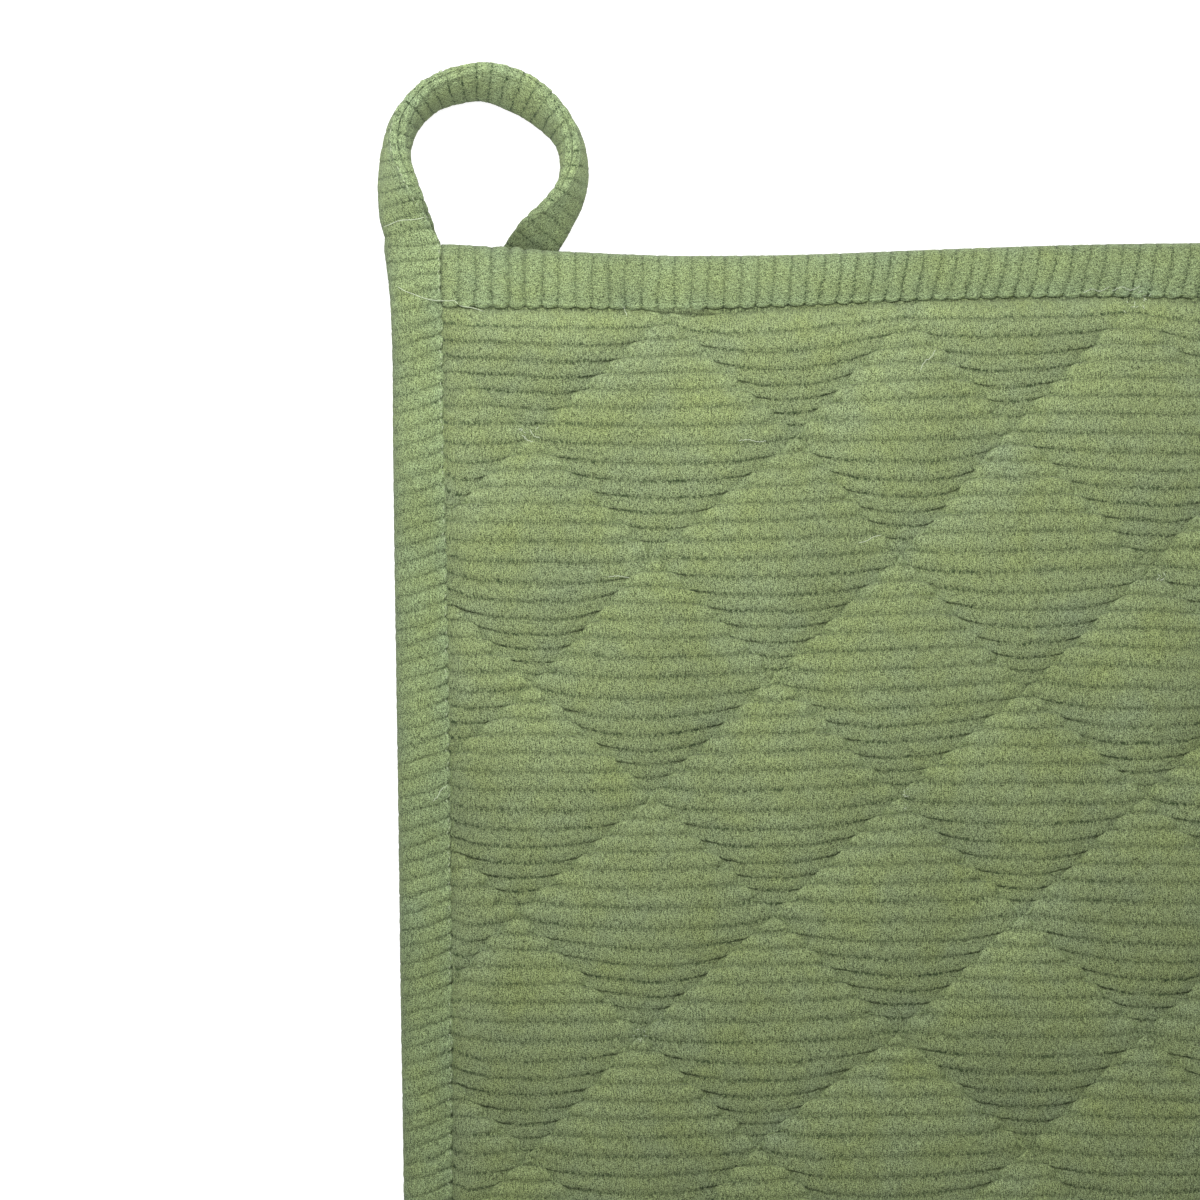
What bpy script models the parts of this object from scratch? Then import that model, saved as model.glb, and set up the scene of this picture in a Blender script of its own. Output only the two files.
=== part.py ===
"""Quilted corduroy pot holder with a folded binding and a corner hanging loop.

The pad lies on its back on z = 0 with its face up (+Z) and its hanging loop at the far left corner (+Y, -X).
Lengths are in metres. The pieces are modelled about the pad's own middle and hang on one empty, which stands
at PAD_MIDDLE so that the origin is under the middle of the whole object's box.
"""

import math
from collections import namedtuple

import bmesh
import bpy
import numpy as np
from mathutils import Vector

OBJECT_NAME = "pot_holder"

# ---------------------------------------------------------------- driving dimensions
PAD_SIDE = 0.220                # nominal square over the bindings
HALF = PAD_SIDE / 2
WALE = 0.003175                 # rib pitch of eight-wale corduroy
GAP = 0.0003                    # between pieces that touch
PAD_MIDDLE = (0.00093, -0.01726, 0.0)

# Binding: corduroy tape folded round the pad's edge
BINDING_THICK = 0.0064          # over the folded strip, which lies flat on z = 0
BINDING_SLOT = 0.0062           # how deep the pad's edge sits in the fold
SLOT_LOW = 0.0016               # underside of the slot
SLOT_HIGH = 0.0046              # roof of the slot
CLOSED_STEPS = 2                # half wales at a side strip's ends over which its fold closes
OVERLAP_RISE = 0.0006           # the left strip rides over the top strip's end
OVERLAP_FADE = 0.0155           # and comes down again over this length
BINDING_GROOVE = 0.00028        # depth of a groove between wales, on binding and loop

# Quilted pad
NODE_X, NODE_Y = -0.0130, 0.0052          # one crossing of the stitch lines, from the pad's middle
QUILT_X, QUILT_Y = 0.0470, 0.0458         # diamonds' width and height
DRIFT_REACH = 0.022                       # how far one crossing's drift is felt
PAD_EDGE_LOW = 0.0019                     # the flattened edge inside the slot
PAD_EDGE_HIGH = 0.0042
VALLEY_TOP = 0.0055                       # stitch valley, face side
CROWN_TOP = 0.0088                        # pillow crown, face side
VALLEY_BACK = 0.0018                      # stitch valley, back
BACK_FLAT_SHARE = 0.5                     # share of a pillow's rise past which its back lies flat
PILLOW_POWER = 2.6                        # how steeply a pillow rises from its stitch line
SEAM_RISE = 0.0060                        # how far from the binding's seam the pad reaches its height
PAD_GROOVE = 0.00036                      # half the depth of a groove between wales, on the pad
VALLEY_GROOVE_SHARE = 0.3                 # what is left of that depth on a stitch line

# Folded end of the loop under the top binding, which lifts the corner
LIFT = 0.0025
LIFT_X, LIFT_FLAT_X, LIFT_FADE_X = -0.0850, 0.0090, 0.0300
LIFT_FLAT_Y, LIFT_FADE_Y = 0.0115, 0.0340
LOOP_CLEARANCE = 0.0003         # the loop's lowest line over z = 0
LOOP_LIFT_FADE = 0.022          # the lift leaves the loop over this length

# The fold's opening in the loop, where it is sewn shut, in shares of the thickness
SHUT_LOW, SHUT_HIGH = -0.25, 0.22

# Mesh fineness
WALES_PER_BACK_ROW = 3          # binding rows where no wale is raised
PAD_BACK_WALES = 3              # pad rows on the back
INNER_COLUMNS = (0.32, 0.68)    # points of a pillow between two stitch valleys
OUTER_COLUMNS = (0.50,)         # the same between the seam and the first valley
VALLEY_COLUMNS = 4              # zigzag columns of stitch lines each side of the middle one
NODE_SPREAD = 0.92              # stitch columns stop just short of each other at a crossing
FIRST_COLUMN = 0.0014           # first point of the pad inside the seam
TIGHTEST_COLUMN = 0.00035       # columns that run into a seam keep this far apart
SETTLE_TURNS = 3                # a place that depends on its own drift is worked out this many times
LOOP_FINENESS = 40              # places for each row of the loop's table when its length is measured
LOOK_AHEAD = 0.05               # rows of that table either side of a place, to read its direction

CLOTH_ROUGHNESS = 0.92

# ---------------------------------------------------------------- tables
# Each side is read in its own clockwise direction: along runs from -HALF to HALF, out is how far the edge
# stands outside the nominal square, width is the folded strip's, lean is how far a wale's inner end runs ahead.
EdgeRow = namedtuple("EdgeRow", "along out width lean")
LEFT_EDGE = (
    EdgeRow(-0.1100, -0.0026, 0.0092, 0.0000),
    EdgeRow(-0.0960, -0.0025, 0.0092, 0.0022),
    EdgeRow(-0.0720, -0.0023, 0.0092, 0.0028),
    EdgeRow(-0.0340, -0.0017, 0.0097, 0.0026),
    EdgeRow(0.0040, -0.0012, 0.0098, 0.0028),
    EdgeRow(0.0500, -0.0005, 0.0098, 0.0026),
    EdgeRow(0.0730, -0.0002, 0.0096, 0.0026),
    EdgeRow(0.0930, 0.0000, 0.0096, 0.0024),
    EdgeRow(0.1010, 0.0004, 0.0099, 0.0016),
    EdgeRow(0.1100, 0.0015, 0.0109, 0.0004),
)
TOP_EDGE = (
    EdgeRow(-0.1100, 0.0005, 0.0119, 0.0000),
    EdgeRow(-0.1000, 0.0006, 0.0119, 0.0000),
    EdgeRow(-0.0930, 0.0002, 0.0116, 0.0000),
    EdgeRow(-0.0780, -0.0008, 0.0107, 0.0000),
    EdgeRow(-0.0625, -0.0013, 0.0104, 0.0000),
    EdgeRow(-0.0320, -0.0012, 0.0097, -0.0006),
    EdgeRow(-0.0080, -0.0003, 0.0096, -0.0015),
    EdgeRow(0.0265, 0.0008, 0.0100, -0.0019),
    EdgeRow(0.0445, 0.0010, 0.0104, -0.0016),
    EdgeRow(0.0780, 0.0006, 0.0101, -0.0010),
    EdgeRow(0.1100, 0.0002, 0.0098, 0.0000),
)
RIGHT_EDGE = (
    EdgeRow(-0.1100, 0.0003, 0.0102, 0.0000),
    EdgeRow(-0.0700, -0.0003, 0.0096, 0.0014),
    EdgeRow(-0.0100, -0.0009, 0.0094, 0.0020),
    EdgeRow(0.0600, 0.0001, 0.0097, 0.0016),
    EdgeRow(0.1100, 0.0004, 0.0099, 0.0000),
)
BOTTOM_EDGE = (
    EdgeRow(-0.1100, 0.0001, 0.0099, 0.0000),
    EdgeRow(-0.0600, 0.0007, 0.0097, -0.0012),
    EdgeRow(0.0100, -0.0005, 0.0096, -0.0016),
    EdgeRow(0.0700, 0.0003, 0.0099, -0.0008),
    EdgeRow(0.1100, 0.0000, 0.0100, 0.0000),
)

# Crossings of the stitch lines that lie off the even lattice
DriftRow = namedtuple("DriftRow", "x y right up")
QUILT_DRIFT = (
    DriftRow(-0.0600, 0.0968, 0.0019, -0.0002),
    DriftRow(-0.0130, 0.0968, 0.0015, -0.0006),
    DriftRow(0.0340, 0.0968, -0.0025, 0.0013),
    DriftRow(-0.0365, 0.0739, 0.0035, -0.0002),
    DriftRow(0.0105, 0.0739, -0.0015, 0.0017),
    DriftRow(0.0340, 0.0510, 0.0010, -0.0025),
    DriftRow(-0.0835, 0.0281, 0.0006, -0.0018),
    DriftRow(0.0105, 0.0281, 0.0009, -0.0025),
    DriftRow(-0.0835, -0.0177, -0.0021, 0.0004),
    DriftRow(-0.0600, -0.0405, -0.0018, -0.0002),
    DriftRow(-0.0365, -0.0634, -0.0032, 0.0017),
    DriftRow(0.0105, -0.0634, 0.0011, 0.0011),
)

# The loop's middle line, clockwise from the left strip's end to its tucked end. tilt is the turn about that
# line: 0 lies flat face up, 90 stands on the folded edge, past 90 the sewn edge leans out.
LoopRow = namedtuple("LoopRow", "x y width thick tilt")
LOOP_PATH = (
    LoopRow(-0.1060, 0.1100, 0.0109, 0.0064, 0),
    LoopRow(-0.1064, 0.1122, 0.0107, 0.0061, 14),
    LoopRow(-0.1071, 0.1146, 0.0103, 0.0056, 38),
    LoopRow(-0.1082, 0.1190, 0.0098, 0.0052, 58),
    LoopRow(-0.1090, 0.1240, 0.0098, 0.0054, 70),
    LoopRow(-0.1090, 0.1286, 0.0096, 0.0056, 82),
    LoopRow(-0.1077, 0.1335, 0.0096, 0.0055, 94),
    LoopRow(-0.1047, 0.1373, 0.0096, 0.0050, 102),
    LoopRow(-0.1005, 0.1400, 0.0096, 0.0045, 110),
    LoopRow(-0.0928, 0.1416, 0.0098, 0.0041, 119),
    LoopRow(-0.0857, 0.1396, 0.0100, 0.0041, 125),
    LoopRow(-0.0803, 0.1359, 0.0098, 0.0045, 115),
    LoopRow(-0.0763, 0.1312, 0.0096, 0.0052, 98),
    LoopRow(-0.0751, 0.1255, 0.0096, 0.0053, 84),
    LoopRow(-0.0760, 0.1203, 0.0098, 0.0047, 70),
    LoopRow(-0.0787, 0.1157, 0.0098, 0.0039, 52),
    LoopRow(-0.0818, 0.1119, 0.0096, 0.0028, 26),
    LoopRow(-0.0843, 0.1082, 0.0096, 0.0020, 6),
    LoopRow(-0.0863, 0.1046, 0.0096, 0.0018, 0),
    LoopRow(-0.0880, 0.1014, 0.0094, 0.0018, 0),
)

# Outline of the folded strip, in shares of its width (across, -0.5 outside) and its thickness (up). The face
# rows carry the wales. The back rows go on round the underside and end in the slot.
OutlineRow = namedtuple("OutlineRow", "across up")
FACE_OUTLINE = (
    OutlineRow(0.50, 0.36),
    OutlineRow(0.10, 0.50),
    OutlineRow(-0.37, 0.40),
    OutlineRow(-0.50, 0.02),
)
BACK_OUTLINE = (
    OutlineRow(-0.41, -0.40),
    OutlineRow(-0.25, -0.50),
    OutlineRow(0.50, -0.50),
)

# Each side's direction out of the square, and its table
SIDES = {
    "left": (Vector((-1, 0, 0)), LEFT_EDGE),
    "top": (Vector((0, 1, 0)), TOP_EDGE),
    "right": (Vector((1, 0, 0)), RIGHT_EDGE),
    "bottom": (Vector((0, -1, 0)), BOTTOM_EDGE),
}
UP = Vector((0, 0, 1))

# A folded strip's section at one place. centre is the middle of its box, and ahead, across and up are its
# directions. in_loop is true where the wales go on round the underside.
Spot = namedtuple("Spot", "centre ahead across up width thick slot lean lift_share in_loop")


# ---------------------------------------------------------------- curves and fields
def cubic(places, values, at):
    """A smooth curve through the values, read at one place."""
    slopes = np.gradient(values, places)
    i = int(np.clip(np.searchsorted(places, at) - 1, 0, len(places) - 2))
    span = places[i + 1] - places[i]
    t = min(max((at - places[i]) / span, 0.0), 1.0)
    start = values[i] * (2 * t**3 - 3 * t**2 + 1) + slopes[i] * span * (t**3 - 2 * t**2 + t)
    end = values[i + 1] * (3 * t**2 - 2 * t**3) + slopes[i + 1] * span * (t**3 - t**2)
    return float(start + end)


def side_value(side, column, along):
    table = SIDES[side][1]
    return cubic([row.along for row in table], [getattr(row, column) for row in table], along)


def edge_distance(side, along, inset=0.0):
    """How far a side's edge, moved in by inset, stands from the pad's middle."""
    return HALF + side_value(side, "out", along) - inset


def seam_distance(side, along):
    return edge_distance(side, along) - side_value(side, "width", along)


def fade(distance, flat, end):
    """1 up to flat, then down to 0 at end without a kink."""
    t = min(max((distance - flat) / (end - flat), 0.0), 1.0)
    return 1 - t * t * (3 - 2 * t)


def lift(x, y):
    """How far the corner is lifted by the loop's end under it."""
    beside = fade(abs(x - LIFT_X), LIFT_FLAT_X, LIFT_FADE_X)
    below = fade(HALF - y, LIFT_FLAT_Y, LIFT_FADE_Y)
    return LIFT * beside * below


def drift(x, y):
    """How far the stitch lines run off their even lattice."""
    right = 0.0
    up = 0.0
    for row in QUILT_DRIFT:
        share = math.exp(-((x - row.x) ** 2 + (y - row.y) ** 2) / DRIFT_REACH**2)
        right += row.right * share
        up += row.up * share
    return right, up


def pillow(x, y):
    """Rise of the quilting: 0 on a stitch line, 1 in the middle of a diamond."""
    right, up = drift(x, y)
    u = (x - right - NODE_X) / QUILT_X
    v = (y - up - NODE_Y) / QUILT_Y
    rise = 1.0
    for across in (u - v, u + v):
        off_line = 2 * abs(across - round(across))
        rise *= 1 - (1 - off_line) ** PILLOW_POWER
    return rise


def seam_room(x, y):
    """Distance from the nearest binding seam, negative under the binding."""
    return min(
        seam_distance("left", y) + x,
        seam_distance("right", -y) - x,
        seam_distance("top", x) - y,
        seam_distance("bottom", -x) + y,
    )


def edge_rise(room):
    """0 at the seam, 1 past SEAM_RISE."""
    t = min(max((room - GAP) / SEAM_RISE, 0.0), 1.0)
    return 1 - (1 - t) ** 2


def pad_front(x, y, wale):
    """Height of the face. wale is 1 on a wale's crest and -1 in a groove."""
    rise = pillow(x, y)
    full = VALLEY_TOP + (CROWN_TOP - VALLEY_TOP) * rise
    share = edge_rise(seam_room(x, y))
    relief = PAD_GROOVE * wale * (VALLEY_GROOVE_SHARE + (1 - VALLEY_GROOVE_SHARE) * min(1.0, 2 * rise))
    return PAD_EDGE_HIGH + (full + relief - PAD_EDGE_HIGH) * share + lift(x, y)


def pad_back(x, y):
    """Height of the back, flat on z = 0 under each pillow."""
    full = VALLEY_BACK * (1 - min(1.0, pillow(x, y) / BACK_FLAT_SHARE))
    share = edge_rise(seam_room(x, y))
    return PAD_EDGE_LOW + (full - PAD_EDGE_LOW) * share + lift(x, y)


# ---------------------------------------------------------------- mesh helpers
def add_grid(bm, columns, rows, place):
    """A grid of points, each moved to place(column, row)."""
    made = bmesh.ops.create_grid(bm, x_segments=columns - 1, y_segments=rows - 1, size=0.5)
    grid = {}
    for vert in made["verts"]:
        column = round((vert.co.x + 0.5) * (columns - 1))
        row = round((vert.co.y + 0.5) * (rows - 1))
        grid[column, row] = vert
    for (column, row), vert in grid.items():
        vert.co = place(column, row)
    return grid


def join_rows(bm, many, few):
    """Triangles between two rows of points, of which one has several steps for each step of the other."""
    done = 0
    for row in range(len(few) - 1):
        step_end = round((row + 1) * (len(many) - 1) / (len(few) - 1))
        turn = (done + step_end + 1) // 2
        for step in range(done, turn):
            bm.faces.new((many[step], many[step + 1], few[row]))
        bm.faces.new((many[turn], few[row + 1], few[row]))
        for step in range(turn, step_end):
            bm.faces.new((many[step], many[step + 1], few[row + 1]))
        done = step_end


def finish(bm, name, material, parent, collection):
    """Welds, turns the faces outwards and makes the object."""
    bmesh.ops.remove_doubles(bm, verts=bm.verts, dist=1e-6)
    bmesh.ops.holes_fill(bm, edges=bm.edges, sides=0)
    bmesh.ops.recalc_face_normals(bm, faces=bm.faces)
    mesh = bpy.data.meshes.new(name)
    bm.to_mesh(mesh)
    bm.free()
    mesh.materials.append(material)
    piece = bpy.data.objects.new(name, mesh)
    piece.parent = parent
    collection.objects.link(piece)
    return piece


# ---------------------------------------------------------------- quilted pad
def valley_columns(y):
    """Where the zigzag columns of stitch lines cross the height y, from left to right."""
    places = []
    middle = NODE_X + QUILT_X / 4
    for number in range(-VALLEY_COLUMNS, VALLEY_COLUMNS + 1):
        x = middle + number * QUILT_X / 2
        for _ in range(SETTLE_TURNS):
            right, up = drift(x, y)
            turn = (y - up - NODE_Y) / QUILT_Y
            swing = 4 * abs(turn - round(turn)) - 1
            side = -1 if number % 2 else 1
            x = middle + number * QUILT_X / 2 + side * swing * NODE_SPREAD * QUILT_X / 4 + right
        places.append(x)
    return places


def pad_columns(y):
    """All the pad's columns at the height y: edge, seam, first point inside, stitch lines and pillows."""
    left_seam = -seam_distance("left", y)
    right_seam = seam_distance("right", -y)
    low = left_seam + FIRST_COLUMN
    high = right_seam - FIRST_COLUMN
    inside = [low] + valley_columns(y) + [high]
    full = [low]
    for start, end in zip(inside, inside[1:]):
        shares = OUTER_COLUMNS if start == low or end == high else INNER_COLUMNS
        full += [start + share * (end - start) for share in shares] + [end]
    last = len(full) - 1
    for i, x in enumerate(full):
        x = max(x, low + i * TIGHTEST_COLUMN)
        full[i] = min(x, high - (last - i) * TIGHTEST_COLUMN)
    reach = BINDING_SLOT - GAP
    return [left_seam - reach, left_seam + GAP] + full + [right_seam - GAP, right_seam + reach]


def build_pad(material, parent, collection):
    wales = round((seam_distance("top", 0.0) + seam_distance("bottom", 0.0)) / WALE)
    front_rows = 2 * wales
    columns = len(pad_columns(0.0))
    reach = BINDING_SLOT - GAP

    def spot(column, share, overhang):
        """A point in plan: share runs from seam to seam, overhang goes on under the binding."""
        y = (share - 0.5) * 2 * seam_distance("top", 0.0)
        for _ in range(SETTLE_TURNS):
            x = pad_columns(y)[column]
            low = -seam_distance("bottom", -x) + GAP
            high = seam_distance("top", x) - GAP
            y = low + share * (high - low) + overhang
        return x, y

    def front(column, row):
        step = row - 1
        overhang = -reach if step < 0 else reach if step > front_rows else 0.0
        share = min(max(step, 0), front_rows) / front_rows
        x, y = spot(column, share, overhang)
        return x, y, pad_front(x, y, 1 if step % 2 else -1)

    back_rows = wales // PAD_BACK_WALES

    def back(column, row):
        step = row - 1
        overhang = -reach if step < 0 else reach if step > back_rows else 0.0
        share = min(max(step, 0), back_rows) / back_rows
        x, y = spot(column, share, overhang)
        return x, y, pad_back(x, y)

    bm = bmesh.new()
    top = add_grid(bm, columns, front_rows + 3, front)
    under = add_grid(bm, columns, back_rows + 3, back)
    for column in (0, columns - 1):
        one = [top[column, row] for row in range(front_rows + 3)]
        other = [under[column, row] for row in range(back_rows + 3)]
        join_rows(bm, one, other)
    for top_row, under_row in ((0, 0), (front_rows + 2, back_rows + 2)):
        one = [top[column, top_row] for column in range(columns)]
        other = [under[column, under_row] for column in range(columns)]
        join_rows(bm, one, other)
    return finish(bm, "quilted_pad", material, parent, collection)


# ---------------------------------------------------------------- folded strips
def side_spot(side, along, closed=False):
    """The folded strip's section at one place of a side."""
    outward = SIDES[side][0]
    ahead = Vector((outward.y, -outward.x, 0))
    width = side_value(side, "width", along)
    thick = BINDING_THICK
    if side == "left":
        thick += OVERLAP_RISE * fade(HALF - along, BINDING_SLOT, OVERLAP_FADE)
    middle = outward * edge_distance(side, along, width / 2) + ahead * along
    slot = 0.0 if closed else BINDING_SLOT
    return Spot(
        centre=middle + UP * thick / 2,
        ahead=ahead,
        across=-outward,
        up=UP,
        width=width,
        thick=thick,
        slot=slot,
        lean=side_value(side, "lean", along),
        lift_share=1.0,
        in_loop=False,
    )


def outline_points(spot, wale, with_slot):
    """Points of the section: face rows first, then back rows and the slot."""
    draw_in = 0.0 if wale > 0 else BINDING_GROOVE
    half_width = spot.width / 2
    width = spot.width - 2 * draw_in
    thick = spot.thick - 2 * draw_in
    low = SLOT_LOW - spot.thick / 2
    high = SLOT_HIGH - spot.thick / 2
    face = [(row.across * width, row.up * thick) for row in FACE_OUTLINE]
    back = [(row.across * spot.width, row.up * spot.thick) for row in BACK_OUTLINE]
    if spot.in_loop:
        low = SHUT_LOW * spot.thick
        high = SHUT_HIGH * spot.thick
        back = [(row.across * width, row.up * thick) for row in BACK_OUTLINE]
    back += [(half_width, low), (half_width - spot.slot, low)]
    back += [(half_width - spot.slot, high), (half_width, high)]
    chosen = back if with_slot else face
    points = []
    for across, up in chosen:
        along = spot.lean * (across / spot.width + 0.5)
        place = spot.centre + spot.across * across + spot.up * up + spot.ahead * along
        points.append(place + UP * lift(place.x, place.y) * spot.lift_share)
    return points


def straight_stations(start, end):
    """Places along a side, two for each wale, an even number of back rows' worth."""
    per_row = 2 * WALES_PER_BACK_ROW
    rows = round((end - start) / (WALE * WALES_PER_BACK_ROW))
    return [start + (end - start) * i / (rows * per_row) for i in range(rows * per_row + 1)]


def back_steps_of(straight_count, count):
    """Which of the face's rows the back has too: few along a straight side, all of them in the loop."""
    last = straight_count - 1
    inner = list(range(2 * WALES_PER_BACK_ROW, last, 2 * WALES_PER_BACK_ROW))
    return [0, CLOSED_STEPS] + inner + [last - CLOSED_STEPS, last] + list(range(straight_count, count))


def build_strip(name, spots, straight_count, material, parent, collection):
    """A folded strip through its sections, of which the first straight_count lie along a side."""
    back_steps = back_steps_of(straight_count, len(spots))

    def wale(step):
        return 1 if step % 2 else -1

    face_points = [outline_points(spot, wale(step), False) for step, spot in enumerate(spots)]
    back_points = [outline_points(spots[step], wale(step), True) for step in back_steps]
    bm = bmesh.new()
    face = add_grid(bm, len(face_points[0]), len(face_points), lambda column, row: face_points[row][column])
    back = add_grid(bm, len(back_points[0]), len(back_points), lambda column, row: back_points[row][column])
    last_face = len(face_points[0]) - 1
    last_back = len(back_points[0]) - 1
    for face_column, back_column in ((last_face, 0), (0, last_back)):
        for row, (start, end) in enumerate(zip(back_steps, back_steps[1:])):
            one = [face[face_column, step] for step in range(start, end + 1)]
            join_rows(bm, one, [back[back_column, row], back[back_column, row + 1]])
    return finish(bm, name, material, parent, collection)


def build_side(side, material, parent, collection):
    """A strip along one side. The top and bottom strips stop between the side strips."""
    if side == "right":
        stations = straight_stations(-HALF, HALF)
        spots = [side_spot(side, along, abs(along) > HALF - WALE / 4) for along in stations]
    elif side == "top":
        start = -seam_distance("left", HALF) + GAP
        end = seam_distance("right", -HALF) - GAP
        spots = [side_spot(side, along) for along in straight_stations(start, end)]
    else:
        start = -seam_distance("right", HALF) + GAP
        end = seam_distance("left", -HALF) - GAP
        spots = [side_spot(side, along) for along in straight_stations(start, end)]
    return build_strip("binding_" + side, spots, len(spots), material, parent, collection)


# ---------------------------------------------------------------- left strip and hanging loop
def loop_line():
    """Places along the loop's middle line half a wale apart, as row numbers of its table, and its length."""
    numbers = np.arange(len(LOOP_PATH))
    fine = np.linspace(0, len(LOOP_PATH) - 1, LOOP_FINENESS * len(LOOP_PATH))
    xs = [cubic(numbers, [row.x for row in LOOP_PATH], at) for at in fine]
    ys = [cubic(numbers, [row.y for row in LOOP_PATH], at) for at in fine]
    run = np.concatenate([[0.0], np.cumsum(np.hypot(np.diff(xs), np.diff(ys)))])
    steps = 2 * round(run[-1] / WALE)
    return [float(np.interp(run[-1] * i / steps, run, fine)) for i in range(steps + 1)], float(run[-1])


def loop_spot(at, travelled):
    """The loop's section at one place of its table."""
    numbers = np.arange(len(LOOP_PATH))

    def value(column, place):
        return cubic(numbers, [getattr(row, column) for row in LOOP_PATH], place)

    before = max(at - LOOK_AHEAD, 0.0)
    after = min(at + LOOK_AHEAD, len(LOOP_PATH) - 1.0)
    ahead = Vector((value("x", after) - value("x", before), value("y", after) - value("y", before), 0))
    ahead.normalize()
    inward = Vector((ahead.y, -ahead.x, 0))
    tilt = math.radians(value("tilt", at))
    width = value("width", at)
    thick = value("thick", at)
    across = inward * math.cos(tilt) + UP * math.sin(tilt)
    up = UP * math.cos(tilt) - inward * math.sin(tilt)
    rise = width / 2 * abs(math.sin(tilt)) + thick / 2 * abs(math.cos(tilt))
    start_share = fade(travelled, 0.0, LOOP_LIFT_FADE / 2)
    return Spot(
        centre=Vector((value("x", at), value("y", at), rise + LOOP_CLEARANCE * (1 - start_share))),
        ahead=ahead,
        across=across,
        up=up,
        width=width,
        thick=thick + OVERLAP_RISE * start_share,
        slot=0.0,
        lean=LEFT_EDGE[-1].lean * start_share,
        lift_share=fade(travelled, 0.0, LOOP_LIFT_FADE),
        in_loop=True,
    )


def build_left_with_loop(material, parent, collection):
    stations = straight_stations(-HALF, HALF)
    spots = [side_spot("left", along, abs(along) > HALF - WALE / 4) for along in stations]
    places, length = loop_line()
    step = length / (len(places) - 1)
    loop = [loop_spot(at, number * step) for number, at in enumerate(places)]
    return build_strip("binding_left_loop", spots + loop[1:], len(spots), material, parent, collection)


# ---------------------------------------------------------------- materials and assembly
def make_material(name, colour):
    material = bpy.data.materials.new(name)
    material.use_nodes = True
    shader = material.node_tree.nodes["Principled BSDF"]
    shader.inputs["Base Color"].default_value = (*colour, 1.0)
    shader.inputs["Roughness"].default_value = CLOTH_ROUGHNESS
    shader.inputs["Metallic"].default_value = 0.0
    return material


def main():
    for item in list(bpy.data.objects):
        bpy.data.objects.remove(item, do_unlink=True)
    collection = bpy.data.collections.new(OBJECT_NAME)
    bpy.context.scene.collection.children.link(collection)
    frame = bpy.data.objects.new("pad_middle", None)
    frame.location = PAD_MIDDLE
    collection.objects.link(frame)

    build_pad(make_material("sage_corduroy", (0.27, 0.38, 0.17)), frame, collection)
    build_left_with_loop(make_material("sage_binding_left", (0.26, 0.36, 0.16)), frame, collection)
    for side, colour in (
        ("top", (0.28, 0.38, 0.17)),
        ("right", (0.26, 0.37, 0.16)),
        ("bottom", (0.25, 0.35, 0.15)),
    ):
        build_side(side, make_material("sage_binding_" + side, colour), frame, collection)


main()
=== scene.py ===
"""Looks of a quilted corduroy pot holder with a folded binding and a corner hanging loop.

The pad lies on z = 0, face up. Lengths are in metres. Shapes are worked out in pad coordinates, about the pad's own
middle, and moved by PAD_MIDDLE into the part's frame when their meshes are made.
"""

import math
from collections import namedtuple

import bmesh
import bpy
import numpy as np
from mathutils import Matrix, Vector


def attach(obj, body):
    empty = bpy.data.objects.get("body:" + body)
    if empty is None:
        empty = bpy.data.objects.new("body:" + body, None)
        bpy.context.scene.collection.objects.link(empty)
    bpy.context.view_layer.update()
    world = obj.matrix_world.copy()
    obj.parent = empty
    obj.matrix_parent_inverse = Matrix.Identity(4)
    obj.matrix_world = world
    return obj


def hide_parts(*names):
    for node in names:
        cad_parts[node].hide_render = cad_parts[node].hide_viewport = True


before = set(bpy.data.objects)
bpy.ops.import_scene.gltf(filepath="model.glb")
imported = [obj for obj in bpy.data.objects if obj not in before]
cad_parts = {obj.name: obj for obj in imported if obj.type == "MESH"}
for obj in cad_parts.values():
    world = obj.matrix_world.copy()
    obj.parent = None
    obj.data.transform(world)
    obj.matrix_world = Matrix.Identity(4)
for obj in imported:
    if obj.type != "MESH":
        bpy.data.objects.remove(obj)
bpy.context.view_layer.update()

# ---------------------------------------------------------------- driving dimensions
HALF = 0.110                    # half the nominal square over the bindings
WALE = 0.003175                 # rib pitch of eight-wale corduroy
LOOP_WALE = 0.0027              # the loop's ribs are crowded by its bend
PAD_MIDDLE = Vector((0.00093, -0.01726, 0.0))
UP = Vector((0.0, 0.0, 1.0))

# The photograph: its scale, and where the pad's middle lies in it
PIXEL = 0.000191
MIDDLE_PX, MIDDLE_PY = 967, 823
FRAME_PX = 1200

# Binding: corduroy tape folded round the pad's edge
BINDING_THICK = 0.0064
BINDING_SLOT = 0.0062           # how deep the pad's edge sits in the fold
OVERLAP_RISE = 0.0006           # the left strip rides over the top strip's end
OVERLAP_FADE = 0.0155
BINDING_RELIEF = 0.00026        # crest over groove, on binding and loop
FOLD_RELIEF_SHARE = 0.22        # the fold is pulled nearly flat
LOOP_RELIEF_SHARE = 0.34        # so is the loop
LIP_SCALLOP = 0.00034           # a wale's end stands this far past the groove beside it
LIP_PRESS = 0.00012             # the seam presses the face lip down by about this, unevenly
STRIP_END_GAP = 0.0003
SHUT_END = 0.0024               # a side strip's fold is shut this far from its end
LIP_END = 0.985                 # how far across the strip its lips reach, as a share

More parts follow.
